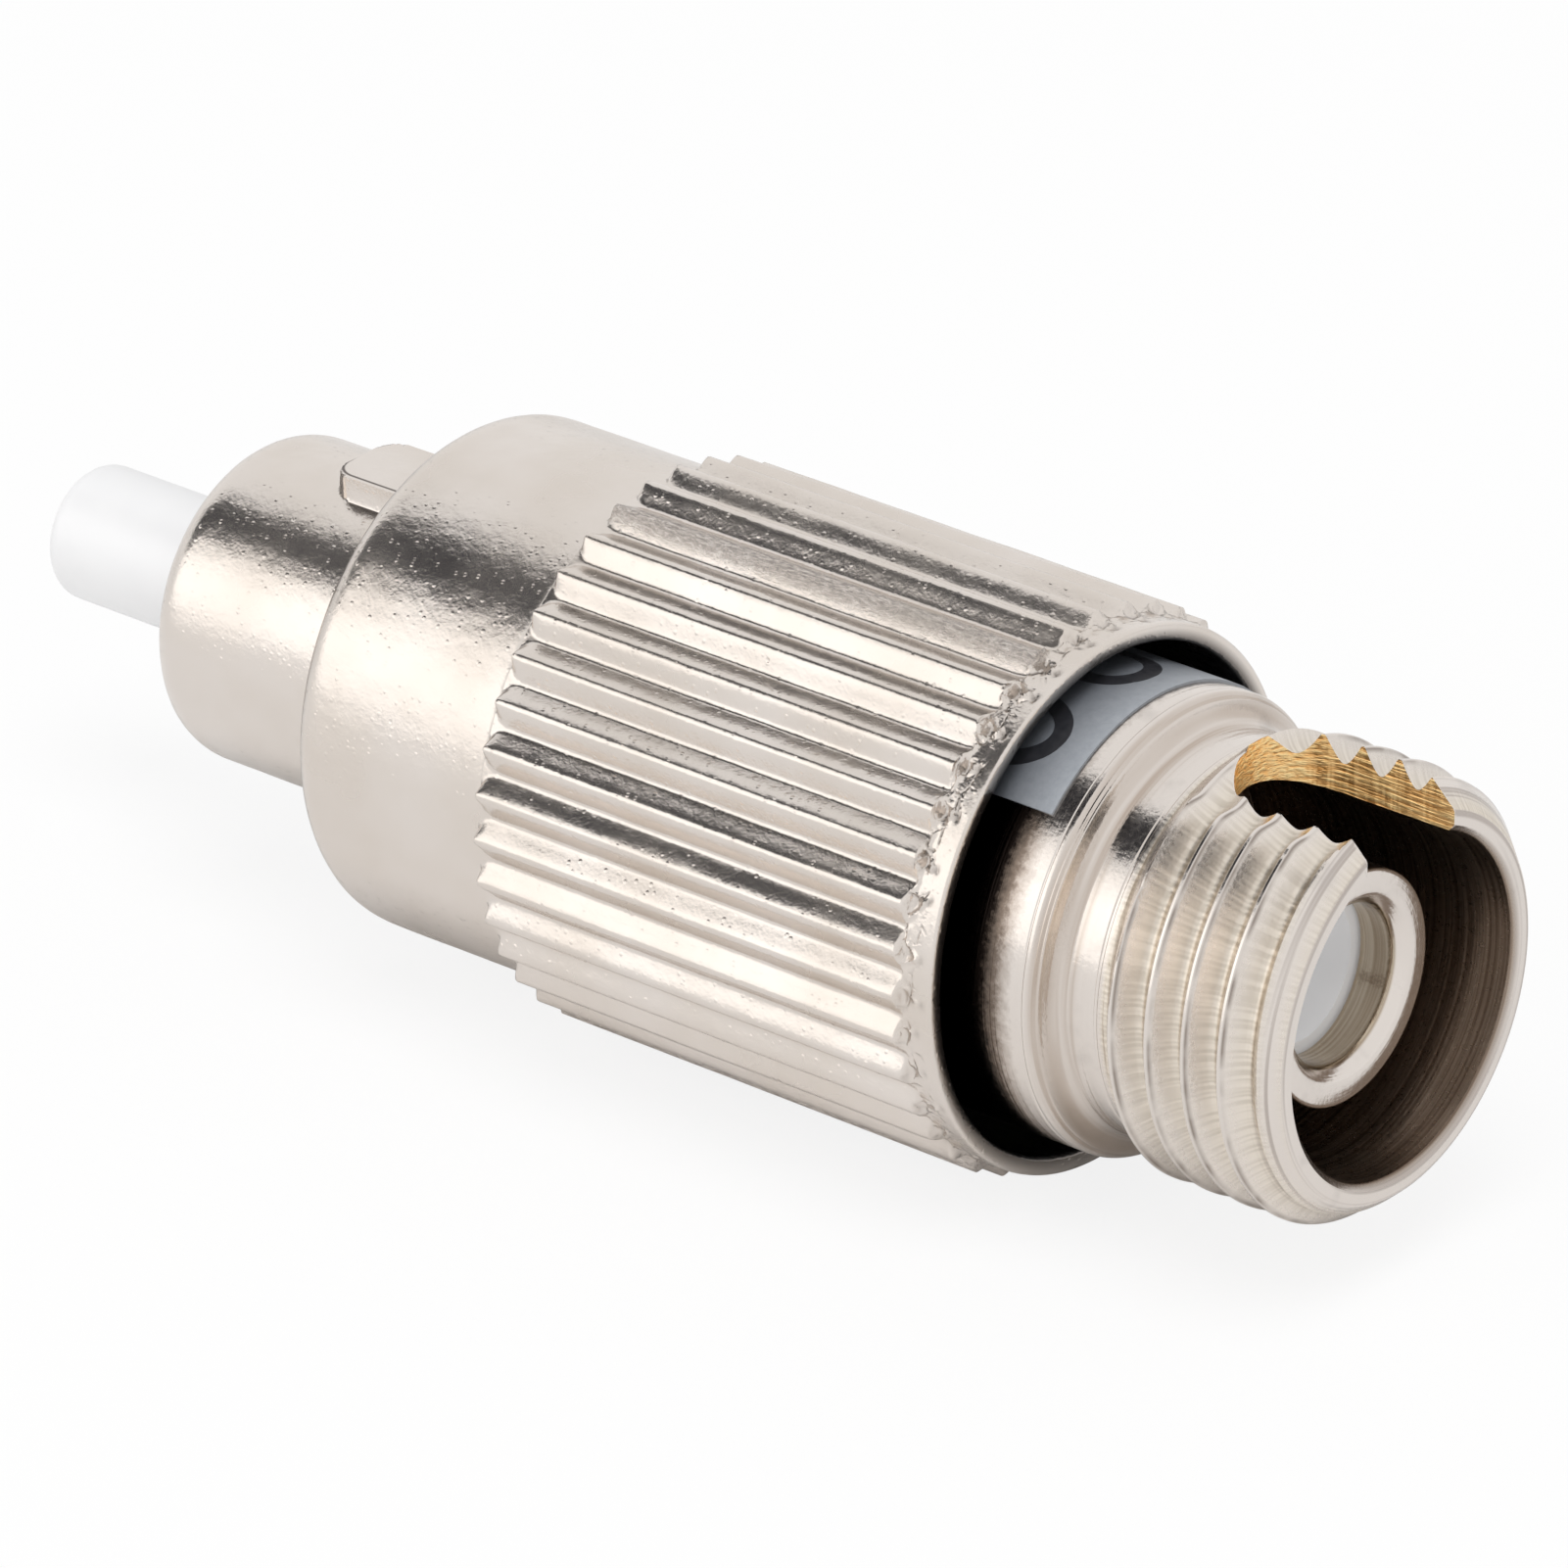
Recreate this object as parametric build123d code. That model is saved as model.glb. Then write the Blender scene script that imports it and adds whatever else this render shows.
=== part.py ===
from build123d import *
import math
import os

os.makedirs("parts", exist_ok=True)

# A plug-style fibre optic attenuator. Its axis is X: the threaded socket opens
# at x = 0 and faces +X, the ferrule points to -X, the key and keyway are at +Z.
# All sizes are in millimetres. A place along the axis is its distance from the
# socket mouth, counted towards the ferrule.

# Straight steps that stand for a rounded front corner
ROUND_STEPS = 3

# How far cutting shapes reach past the faces they cut
OVERRUN = 1.0

# Places along the axis that more than one piece shares
BARREL_END = 15.2
SPIGOT_LENGTH = 2.0
SPIGOT_REAR = BARREL_END - SPIGOT_LENGTH

# Ferrule, its fibre and its collar
FERRULE_R = 1.2495
FERRULE_TIP = 29.25
FERRULE_REAR = 9.05
FERRULE_EDGE = 0.22
FERRULE_PLAY = 0.1505
FIBRE_R = 0.0625
COLLAR_FRONT = 20.6
COLLAR_THICK = 1.3
COLLAR_REAR = COLLAR_FRONT - COLLAR_THICK
HUB_REAR = 17.2
HUB_WALL = 0.3005
HUB_R = FERRULE_R + HUB_WALL

# Float spring and the washer it bears on
SPRING_WIRE = 0.34
SPRING_HUB_GAP = 0.10
SPRING_BORE_GAP = 0.16
SPRING_MEAN_R = HUB_R + SPRING_HUB_GAP + SPRING_WIRE / 2
SPRING_TURNS = 4
SPRING_FACETS = 6
WASHER_THICK = 0.3
WASHER_HOLE_R = FERRULE_R + FERRULE_PLAY

# Plug frame, built outwards from the spring's room
FRAME_BORE_R = SPRING_MEAN_R + SPRING_WIRE / 2 + SPRING_BORE_GAP
FRAME_WALL = 0.85
FRAME_R = FRAME_BORE_R + FRAME_WALL
FRAME_FRONT = 25.25
FRAME_NOSE = 0.45
MOUTH_WALL = 0.75
FRAME_MOUTH_R = FRAME_R - MOUTH_WALL
WEB_THICK = 1.0
WEB_FRONT = COLLAR_FRONT + WEB_THICK
WEB_HOLE_R = FERRULE_R + FERRULE_PLAY
BORE_PLAY = 0.1
COLLAR_R = FRAME_BORE_R - BORE_PLAY
WASHER_R = FRAME_BORE_R - BORE_PLAY
FLANGE_FRONT = 20.2
FLANGE_THICK = 0.8
FLANGE_REAR = FLANGE_FRONT - FLANGE_THICK
FLANGE_RISE = 0.45
FLANGE_R = FRAME_R + FLANGE_RISE
SPIGOT_STEP = 0.25
SPIGOT_R = FRAME_R - SPIGOT_STEP
KEY_FRONT = 22.8
KEY_WIDTH = 1.6
KEY_RISE = 0.36
KEY_TOP = FRAME_R + KEY_RISE
KEY_CORNER = 0.48
KEY_ROUND = 0.14
KEY_SINK = 0.4

# Sleeve holder and split sleeve
HOLDER_R = 2.095
HOLDER_PLAY = 0.15
HOLDER_FLANGE_R = SPIGOT_R - HOLDER_PLAY
HOLDER_STEP = 0.25
HOLDER_SHANK_R = HOLDER_FLANGE_R - HOLDER_STEP
HOLDER_FRONT = 1.12
HOLDER_EDGE = 0.08
HOLDER_HOLE_PLAY = 0.1655
HOLDER_HOLE_R = FERRULE_R + HOLDER_HOLE_PLAY
HOLDER_SINK = 0.24
HOLDER_LIP = 0.93
HOLDER_LIP_END = HOLDER_FRONT + HOLDER_LIP
HOLDER_FLANGE_THICK = 1.0
HOLDER_FLANGE_FRONT = SPIGOT_REAR - HOLDER_FLANGE_THICK
SLEEVE_FIT = 0.0145
SLEEVE_BORE_R = FERRULE_R + SLEEVE_FIT
SLEEVE_WALL = 0.336
SLEEVE_R = SLEEVE_BORE_R + SLEEVE_WALL
SLEEVE_ROOM = 0.04
HOLDER_CHAMBER_R = SLEEVE_R + SLEEVE_ROOM
SLEEVE_FRONT_GAP = 0.05
SLEEVE_REAR_GAP = 0.1
SLEEVE_FRONT = HOLDER_LIP_END + SLEEVE_FRONT_GAP
SLEEVE_END = SPIGOT_REAR - SLEEVE_REAR_GAP
SLEEVE_SLIT = 0.5

# Turned body: barrel, neck and M8 x 0.75 thread
THREAD_R = 3.97
THREAD_DEPTH = 0.45
THREAD_ROOT_R = THREAD_R - THREAD_DEPTH
THREAD_PITCH = 0.75
THREAD_CREST = 0.12
THREAD_ROOT_GAP = 0.10
THREAD_START = 3.725
THREAD_END = 3.6
RIDGE_SINK = 0.03
TRIM_GAP = 0.02
MOUTH_STEP = 0.55
MOUTH_R = THREAD_R - MOUTH_STEP
MOUTH_CHAMFER = 0.62
RUN_OUT = 0.42
NECK_STEP = 0.41
NECK_R = THREAD_R - NECK_STEP
NECK_END = 4.32
BARREL_R = 4.1
BARREL_EDGE_STEP = 0.12
BARREL_EDGE_R = BARREL_R - BARREL_EDGE_STEP
BARREL_EDGE = 4.66
BARREL_START = 4.8
SOCKET_WALL = 0.92
SOCKET_R = THREAD_R - SOCKET_WALL
SOCKET_DEPTH = 5.4
SOCKET_EDGE = 0.1
SLOT_WIDTH = 2.4
SLOT_LENGTH = 3.35

# Label: a paper band on the barrel, from one angle to the other, +Y being 0
LABEL_THICK = 0.05
LABEL_START = 5.27
LABEL_END = 14.4
LABEL_FROM = -107
LABEL_TO = 133

# Coupling nut and its snap ring
NUT_FRONT = 20.45
NUT_REAR = 6.2
NUT_FRONT_ROUND = 0.38
SKIRT_PLAY = 0.38
SKIRT_BORE_R = BARREL_R + LABEL_THICK + SKIRT_PLAY
SKIRT_WALL = 0.29
KNURL_VALLEY_R = SKIRT_BORE_R + SKIRT_WALL
SMOOTH_STEP = 0.153
NUT_SMOOTH_R = KNURL_VALLEY_R - SMOOTH_STEP
KNURL_START = 16.08
KNURL_END = 6.75
RIB_COUNT = 38
RIB_HEIGHT = 0.25
KNURL_TOP_R = KNURL_VALLEY_R + RIB_HEIGHT
RIB_START = 16.04
RIB_END = 6.62
RIB_BASE = 0.70
RIB_TOP = 0.14
RIB_CORNER = 0.24
RIB_ROOT = 0.05
RIM_WALL = 0.33
RIM_R = SKIRT_BORE_R + RIM_WALL
RIM_EDGE = 0.06
NUT_THREAD_PLAY = 0.17
NUT_THREAD_R = FLANGE_R + NUT_THREAD_PLAY
NUT_MOUTH_SINK = 0.4
NUT_THREAD_END = 17.1
NUT_LAND_STEP = 0.13
NUT_LAND_R = NUT_THREAD_R + NUT_LAND_STEP
NUT_LAND_END = 15.7
NUT_GROOVE_DEPTH = 0.5
NUT_GROOVE_R = NUT_LAND_R + NUT_GROOVE_DEPTH
NUT_GROOVE_END = 16.3
SNAP_GAP = 0.05
SNAP_R = NUT_GROOVE_R - SNAP_GAP
SNAP_PLAY = 0.12
SNAP_BORE_R = FRAME_R + SNAP_PLAY
SNAP_OPENING = 1.2


def turned(outline):
    """Revolve closed outline points (place, radius) about the axis."""
    points = [(-place, radius) for place, radius in outline]
    profile = make_face(Polyline(points, close=True))
    return revolve(Plane.XY * profile, Axis.X, 360)


def rounded_corner(place, radius, size):
    """Outline points of a rounded front corner, from the end face to the side."""
    angles = [math.radians(90 * step / ROUND_STEPS) for step in range(ROUND_STEPS + 1)]
    return [
        (place - size + size * math.cos(a), radius - size + size * math.sin(a))
        for a in angles
    ]


def drum(place_a, place_b, radius):
    """A cylinder on the axis between two places."""
    length = abs(place_a - place_b)
    middle = -(place_a + place_b) / 2
    return Pos(middle, 0, 0) * Rot(0, 90, 0) * Cylinder(radius, length)


def ring(place_a, place_b, outer, inner):
    """A plain ring on the axis between two places."""
    return drum(place_a, place_b, outer) - drum(place_a + 1, place_b - 1, inner)


def screw_ridge(root_radius, crest_radius, start, turns):
    """One thread ridge as a closed solid, wound about Z from z = start."""
    height = turns * THREAD_PITCH
    half_root = (THREAD_PITCH - THREAD_ROOT_GAP) / 2
    half_crest = THREAD_CREST / 2
    corners = [
        (root_radius, -half_root),
        (crest_radius, -half_crest),
        (crest_radius, half_crest),
        (root_radius, half_root),
    ]
    edges = [
        Helix(THREAD_PITCH, height, radius, center=(0, 0, start + offset))
        for radius, offset in corners
    ]
    sides = [
        Face.make_surface_from_curves(edges[i], edges[(i + 1) % 4])
        for i in range(4)
    ]
    for end in (0, 1):
        outline = [edge.position_at(end) for edge in edges]
        sides.append(Face(Wire.make_polygon(outline, close=True)))
    return Solid(Shell(sides))


def threaded_end():
    """The external thread with its chamfers, still solid inside."""
    core = drum(-OVERRUN, THREAD_END + OVERRUN, THREAD_ROOT_R)
    turns = math.ceil((THREAD_START + THREAD_PITCH) / THREAD_PITCH)
    ridge = screw_ridge(THREAD_ROOT_R - RIDGE_SINK, THREAD_R, -THREAD_START, turns)
    trim_radius = THREAD_R + TRIM_GAP
    envelope = turned([
        (0, 0),
        (0, MOUTH_R),
        (MOUTH_CHAMFER, trim_radius),
        (THREAD_END - RUN_OUT, trim_radius),
        (THREAD_END, NECK_R),
        (THREAD_END, 0),
    ])
    return (core + Rot(0, 90, 0) * ridge) & envelope


def keyway():
    """The round-ended slot through the wall at the top of the socket."""
    end_r = SLOT_WIDTH / 2
    straight = SLOT_LENGTH - end_r
    plan = Pos((OVERRUN - straight) / 2, 0) * Rectangle(straight + OVERRUN, SLOT_WIDTH)
    plan += Pos(-straight, 0) * Circle(end_r)
    return extrude(Plane.XY * plan, amount=BARREL_R + OVERRUN)


def receptacle_body():
    barrel = turned([
        (THREAD_END, 0),
        (THREAD_END, NECK_R),
        (NECK_END, NECK_R),
        (BARREL_EDGE, BARREL_EDGE_R),
        (BARREL_START, BARREL_R),
        (BARREL_END, BARREL_R),
        (BARREL_END, 0),
    ])
    inside = turned([
        (-OVERRUN, 0),
        (-OVERRUN, SOCKET_R + SOCKET_EDGE),
        (0, SOCKET_R + SOCKET_EDGE),
        (SOCKET_EDGE, SOCKET_R),
        (SOCKET_DEPTH, SOCKET_R),
        (SOCKET_DEPTH, HOLDER_SHANK_R),
        (HOLDER_FLANGE_FRONT, HOLDER_SHANK_R),
        (HOLDER_FLANGE_FRONT, SPIGOT_R),
        (BARREL_END + OVERRUN, SPIGOT_R),
        (BARREL_END + OVERRUN, 0),
    ])
    mouth = threaded_end() - inside - keyway()
    return mouth + (barrel - inside)


def sleeve_holder():
    return turned([
        (HOLDER_FRONT, HOLDER_HOLE_R + HOLDER_SINK),
        (HOLDER_FRONT, HOLDER_R - HOLDER_EDGE),
        (HOLDER_FRONT + HOLDER_EDGE, HOLDER_R),
        (SOCKET_DEPTH, HOLDER_R),
        (SOCKET_DEPTH, HOLDER_SHANK_R),
        (HOLDER_FLANGE_FRONT, HOLDER_SHANK_R),
        (HOLDER_FLANGE_FRONT, HOLDER_FLANGE_R),
        (SPIGOT_REAR, HOLDER_FLANGE_R),
        (SPIGOT_REAR, HOLDER_CHAMBER_R),
        (HOLDER_LIP_END, HOLDER_CHAMBER_R),
        (HOLDER_LIP_END, HOLDER_HOLE_R),
        (HOLDER_FRONT + HOLDER_SINK, HOLDER_HOLE_R),
    ])


def split_sleeve():
    tube = ring(SLEEVE_END, SLEEVE_FRONT, SLEEVE_R, SLEEVE_BORE_R)
    length = SLEEVE_END - SLEEVE_FRONT + 2 * OVERRUN
    middle = -(SLEEVE_FRONT + SLEEVE_END) / 2
    slit = Pos(middle, -SLEEVE_R, 0) * Box(length, SLEEVE_R * 2, SLEEVE_SLIT)
    return tube - slit


def ferrule():
    return turned([
        (FERRULE_TIP, FIBRE_R),
        (FERRULE_TIP, FERRULE_R - FERRULE_EDGE),
        (FERRULE_TIP - FERRULE_EDGE, FERRULE_R),
        (FERRULE_REAR + FERRULE_EDGE, FERRULE_R),
        (FERRULE_REAR, FERRULE_R - FERRULE_EDGE),
        (FERRULE_REAR, FIBRE_R),
    ])


def ferrule_collar():
    return turned([
        (COLLAR_FRONT, FERRULE_R),
        (COLLAR_FRONT, COLLAR_R),
        (COLLAR_REAR, COLLAR_R),
        (COLLAR_REAR, HUB_R),
        (HUB_REAR, HUB_R),
        (HUB_REAR, FERRULE_R),
    ])


def attenuating_fibre():
    return drum(FERRULE_TIP, FERRULE_REAR, FIBRE_R)


def float_spring():
    wire = SPRING_WIRE / 2
    front = COLLAR_REAR - wire
    rear = SPIGOT_REAR + WASHER_THICK + wire
    height = front - rear
    path = Helix(height / SPRING_TURNS, height, SPRING_MEAN_R)
    section = Plane(path @ 0, z_dir=path % 0) * RegularPolygon(wire, SPRING_FACETS)
    coil = sweep(section, path, is_frenet=True)
    return Pos(-front, 0, 0) * Rot(0, 90, 0) * coil


def spring_washer():
    return ring(SPIGOT_REAR + WASHER_THICK, SPIGOT_REAR, WASHER_R, WASHER_HOLE_R)


def plug_frame():
    tube = turned([
        (FRAME_FRONT, FRAME_MOUTH_R),
        *rounded_corner(FRAME_FRONT, FRAME_R, FRAME_NOSE),
        (FLANGE_FRONT, FRAME_R),
        (FLANGE_FRONT, FLANGE_R),
        (FLANGE_REAR, FLANGE_R),
        (FLANGE_REAR, FRAME_R),
        (BARREL_END, FRAME_R),
        (BARREL_END, SPIGOT_R),
        (SPIGOT_REAR, SPIGOT_R),
        (SPIGOT_REAR, FRAME_BORE_R),
        (COLLAR_FRONT, FRAME_BORE_R),
        (COLLAR_FRONT, WEB_HOLE_R),
        (WEB_FRONT, WEB_HOLE_R),
        (WEB_FRONT, FRAME_MOUTH_R),
    ])
    length = KEY_FRONT - FLANGE_FRONT
    middle = -(KEY_FRONT + FLANGE_FRONT) / 2
    height = KEY_TOP - FRAME_R + KEY_SINK
    key = Pos(middle, 0, KEY_TOP - height / 2) * Box(length, KEY_WIDTH, height)
    front_corners = key.edges().filter_by(Axis.Z).group_by(Axis.X)[0]
    key = fillet(front_corners, KEY_CORNER)
    top_edges = key.faces().sort_by(Axis.Z)[-1].edges()
    key = chamfer(top_edges.sort_by(Axis.X)[:-1], KEY_ROUND)
    return tube + key


def snap_ring():
    front = NUT_THREAD_END - SNAP_GAP
    rear = NUT_GROOVE_END + SNAP_GAP
    middle = -(front + rear) / 2
    length = front - rear + 2 * OVERRUN
    opening = Pos(middle, 0, -SNAP_R) * Box(length, SNAP_OPENING, SNAP_R * 2)
    return ring(front, rear, SNAP_R, SNAP_BORE_R) - opening


def rib():
    """One knurl rib at the top of the nut: sloped sides, cut corners in front."""
    height = KNURL_TOP_R - KNURL_VALLEY_R
    draft = math.degrees(math.atan((RIB_BASE - RIB_TOP) / 2 / height))
    spread = RIB_ROOT * math.tan(math.radians(draft))
    length = RIB_START - RIB_END
    middle = -(RIB_START + RIB_END) / 2
    plan = Rectangle(length, RIB_BASE + 2 * spread)
    plan = chamfer(plan.vertices().group_by(Axis.X)[0], RIB_CORNER)
    foot = Plane.XY.offset(KNURL_VALLEY_R - RIB_ROOT)
    return extrude(foot * Pos(middle, 0) * plan, amount=height + RIB_ROOT, taper=draft)


def coupling_nut():
    solid = turned([
        (NUT_FRONT, NUT_THREAD_R + NUT_MOUTH_SINK),
        *rounded_corner(NUT_FRONT, NUT_SMOOTH_R, NUT_FRONT_ROUND),
        (KNURL_START, NUT_SMOOTH_R),
        (KNURL_START, KNURL_VALLEY_R),
        (KNURL_END, KNURL_VALLEY_R),
        (KNURL_END, RIM_R),
        (NUT_REAR + RIM_EDGE, RIM_R),
        (NUT_REAR, RIM_R - RIM_EDGE),
        (NUT_REAR, SKIRT_BORE_R),
        (NUT_LAND_END, SKIRT_BORE_R),
        (NUT_LAND_END, NUT_LAND_R),
        (NUT_GROOVE_END, NUT_LAND_R),
        (NUT_GROOVE_END, NUT_GROOVE_R),
        (NUT_THREAD_END, NUT_GROOVE_R),
        (NUT_THREAD_END, NUT_THREAD_R),
        (NUT_FRONT - NUT_MOUTH_SINK, NUT_THREAD_R),
    ])
    bar = rib()
    # Half a pitch of turn puts a valley at the bottom, so the nut rests on two ribs.
    pitch = 360 / RIB_COUNT
    ribs = [Rot(pitch * (i + 0.5), 0, 0) * bar for i in range(RIB_COUNT)]
    return solid.fuse(*ribs)


def label():
    span = LABEL_TO - LABEL_FROM
    band = make_face(Polyline([
        (-LABEL_START, BARREL_R),
        (-LABEL_END, BARREL_R),
        (-LABEL_END, BARREL_R + LABEL_THICK),
        (-LABEL_START, BARREL_R + LABEL_THICK),
    ], close=True))
    return Rot(LABEL_FROM, 0, 0) * revolve(Plane.XY * band, Axis.X, span)


pieces = {
    "receptacle_body": receptacle_body,
    "sleeve_holder": sleeve_holder,
    "split_sleeve": split_sleeve,
    "ferrule": ferrule,
    "ferrule_collar": ferrule_collar,
    "attenuating_fibre": attenuating_fibre,
    "float_spring": float_spring,
    "spring_washer": spring_washer,
    "plug_frame": plug_frame,
    "snap_ring": snap_ring,
    "coupling_nut": coupling_nut,
    "label": label,
}

for name, make in pieces.items():
    shape = make()
    shape.label = name
    export_step(shape, "parts/" + name + ".step")
    solids = len(shape.solids())
    print(name, "solids", solids, "valid", shape.is_valid, "volume", round(shape.volume, 3))
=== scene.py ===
import math
import random

import bmesh
import bpy
import numpy as np
from mathutils import Matrix, Vector, noise

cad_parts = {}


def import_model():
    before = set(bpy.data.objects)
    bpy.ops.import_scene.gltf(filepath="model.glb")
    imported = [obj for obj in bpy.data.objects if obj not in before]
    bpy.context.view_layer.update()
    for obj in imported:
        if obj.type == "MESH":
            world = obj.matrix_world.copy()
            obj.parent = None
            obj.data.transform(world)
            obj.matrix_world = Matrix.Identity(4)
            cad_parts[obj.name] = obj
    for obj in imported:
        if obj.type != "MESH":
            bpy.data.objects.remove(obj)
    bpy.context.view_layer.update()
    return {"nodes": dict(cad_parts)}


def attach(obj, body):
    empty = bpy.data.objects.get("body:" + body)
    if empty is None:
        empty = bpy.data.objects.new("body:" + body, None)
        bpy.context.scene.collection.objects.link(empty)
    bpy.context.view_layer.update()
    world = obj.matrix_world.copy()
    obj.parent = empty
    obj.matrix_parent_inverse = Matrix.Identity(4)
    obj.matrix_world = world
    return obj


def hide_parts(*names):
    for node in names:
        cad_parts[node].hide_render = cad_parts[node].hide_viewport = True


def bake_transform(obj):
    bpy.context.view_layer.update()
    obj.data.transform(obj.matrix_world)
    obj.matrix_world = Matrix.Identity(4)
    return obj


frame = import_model()
nodes = frame["nodes"]
random.seed(7)

# A place is a distance from the socket mouth along the axis, in millimetres, counted
# towards the ferrule. An angle is counted from the -Y side over the top (+Z).
MM = 0.001
TURN = 2 * math.pi
TOP = math.pi / 2


# Meshes

def add(name, data):
    """A new object in the scene."""
    obj = bpy.data.objects.new(name, data)
    bpy.context.scene.collection.objects.link(obj)
    return obj


def closed_mesh(name, points, faces):
    """A closed mesh from points in metres, with every face looking outwards."""
    mesh = bpy.data.meshes.new(name)
    mesh.from_pydata([tuple(p) for p in points], [], faces)
    mesh.validate()
    edit = bmesh.new()
    edit.from_mesh(mesh)
    bmesh.ops.recalc_face_normals(edit, faces=edit.faces)
    edit.to_mesh(mesh)
    edit.free()
    mesh.update()
    return mesh


def make_object(name, points, faces, body, smooth_angle=40):
    """A piece from points in millimetres, riding on a body of the frame if one is named."""
    obj = add(name, closed_mesh(name, np.asarray(points, float) * MM, faces))
    shade(obj, smooth_angle)
    if body:
        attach(obj, body)
    return obj


def shade(obj, angle):
    """Smooth shading that keeps the edges sharper than the angle, in degrees."""
    mesh = obj.data
    mesh.polygons.foreach_set("use_smooth", [True] * len(mesh.polygons))
    mesh.set_sharp_from_angle(angle=math.radians(angle))


def smooth_step(low, high, value):
    """0 at low and 1 at high, with a soft change between them."""
    t = np.clip((value - low) / (high - low), 0, 1)
    return t * t * (3 - 2 * t)


def bell(away, width):
    """1 where away is 0, and almost 0 two widths off."""
    return np.exp(-((away / width) ** 2))


def spread(low, high, step):
    """Values from low to high, about a step apart, both ends included."""
    count = max(1, int(round((high - low) / step)))
    return list(np.linspace(low, high, count + 1))


def falling(ranges):
    """Places from high to low, for ranges given as (low, high, step)."""
    return [place for limits in ranges for place in spread(*limits)[::-1]]


def softened(outline, size, steps=3):
    """Round every corner of an open outline of (place, radius) points."""
    out = [outline[0]]
    for before, corner, after in zip(outline, outline[1:], outline[2:]):
        b, c, a = (np.array(p, float) for p in (before, corner, after))
        to_b, to_a = b - c, a - c
        cut = min(size, np.linalg.norm(to_b) * 0.45, np.linalg.norm(to_a) * 0.45)
        p = c + to_b / np.linalg.norm(to_b) * cut
        q = c + to_a / np.linalg.norm(to_a) * cut
        for k in range(steps + 1):
            t = k / steps
            out.append(tuple((1 - t) ** 2 * p + 2 * t * (1 - t) * c + t * t * q))
    out.append(outline[-1])
    return out


def round_front(place, radius, along, inwards, steps):
    """Outline points of a rounded front edge, from the end face to the side."""
    angles = np.linspace(0, TURN / 4, steps + 1)
    return [(place - along * (1 - math.cos(a)), radius - inwards * (1 - math.sin(a))) for a in angles]


def circle(count):
    """Angles spread evenly round the axis."""
    return np.arange(count) / count * TURN


def revolved(outline, columns):
    """Places and radii of an outline's points, repeated for every column."""
    return [np.repeat([[p[k]] for p in outline], columns, 1) for k in (0, 1)]


def ring_points(places, radii, angles):
    """Points for rows of places and radii (row by column) at the columns' angles."""
    x = -np.broadcast_to(places, radii.shape)
    return np.stack([x, -radii * np.cos(angles), radii * np.sin(angles)], -1).reshape(-1, 3)


def ring_faces(rows, columns, start=0, closed=False):
    """Quads between rows of points that go right round the axis."""
    faces = []
    for i in range(rows if closed else rows - 1):
        here, there = start + i * columns, start + (i + 1) % rows * columns
        for j in range(columns):
            k = (j + 1) % columns
            faces.append((here + j, here + k, there + k, there + j))
    return faces


def lathe(name, outline, body, columns, size):
    """A closed solid of revolution with softened corners."""
    loop = softened([outline[-1]] + outline + [outline[0]], size)[1:-1]
    places, radii = revolved(loop, columns)
    points = ring_points(places, radii, circle(columns))
    return make_object(name, points, ring_faces(len(loop), columns, closed=True), body)


def ripple(places, angles, radius, scale, seed):
    """Smooth noise on a cylinder, from -1 to 1, at the points of a grid."""
    out = np.zeros((len(places), len(angles)))
    for i, place in enumerate(places):
        for j, angle in enumerate(angles):
            p = Vector((place, radius * math.cos(angle), radius * math.sin(angle)))
            out[i, j] = noise.noise(p * scale + Vector((seed, 0, 0)))
    return out


def paint(obj, name, values):
    """Store one number a point for the material to read; points after the last value get 0."""
    numbers = np.zeros(len(obj.data.vertices), np.float32)
    numbers[: np.size(values)] = np.ravel(values)
    layer = obj.data.attributes.new(name, "FLOAT", "POINT")
    layer.data.foreach_set("value", numbers)


# Coupling nut: one casting with smooth front, knurled grip, rim and inner thread
NUT_FRONT = 20.45
NUT_REAR = 6.2
SMOOTH_R = 4.667
VALLEY_R = 4.825
RIM_R = 4.86
RIM_START = 7.1
RIM_FULL = 6.7
KNURL_START = 16.08
KNURL_STEP = 0.06
START_GROOVE_DEPTH = 0.035
START_GROOVE_WIDTH = 0.05
# Mesh rows as (low, high, step)
SMOOTH_ROWS = ((16.3, 19.7, 0.15),)
KNURL_ROWS = ((15.7, 16.22, 0.035), (7.2, 15.56, 0.3), (6.34, 7.15, 0.03))
# The rim's rounded edge: how far before the rear face, and how far inside the rim's radius
RIM_ROUND = ((0.07, 0), (0.025, 0.01), (0.005, 0.035), (0, 0.09))

RIB_COUNT = 38
RIB_PITCH = TURN / RIB_COUNT
RIB_START = 16.02
RIB_END = 6.78
RIB_TOP_R = 5.07
RIB_MIDDLE_R = 4.9
RIB_HALF = 0.375
RIB_CROWN = 0.04
RIB_NOSE = 0.34
# Mesh columns of half a rib, as distances from its middle
RIB_OFFSETS = (0, 0.03, 0.065, 0.12, 0.16, 0.2, 0.24, 0.28, 0.34, 0.375)

# The rib ends are torn most at this angle, and little beyond the reach, both in degrees
TORN_ANGLE = 62
TORN_REACH = 62
TORN_LEAST = 0.08
# A lip runs over a tip between two shoulders: how far behind the rib's end, and off its middle
TIP_BEHIND = (0.2, 0.36)
TIP_ASIDE = (-0.14, 0.14)
UPPER_BEHIND = (-0.08, 0.02)
UPPER_ASIDE = (0.17, 0.25)
LOWER_BEHIND = (-0.06, 0.04)
LOWER_ASIDE = (-0.25, -0.17)
LIP_HEIGHT = (0.08, 0.14)
LIP_WIDTH = 0.03
# Where the lips of two ribs meet
JOINT_BEHIND = 0.03
JOINT_ASIDE = 0.41
HOLLOW_DEPTH = 0.1
PIT_DEPTH = 0.04
PIT_WIDTH = 0.05

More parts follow.
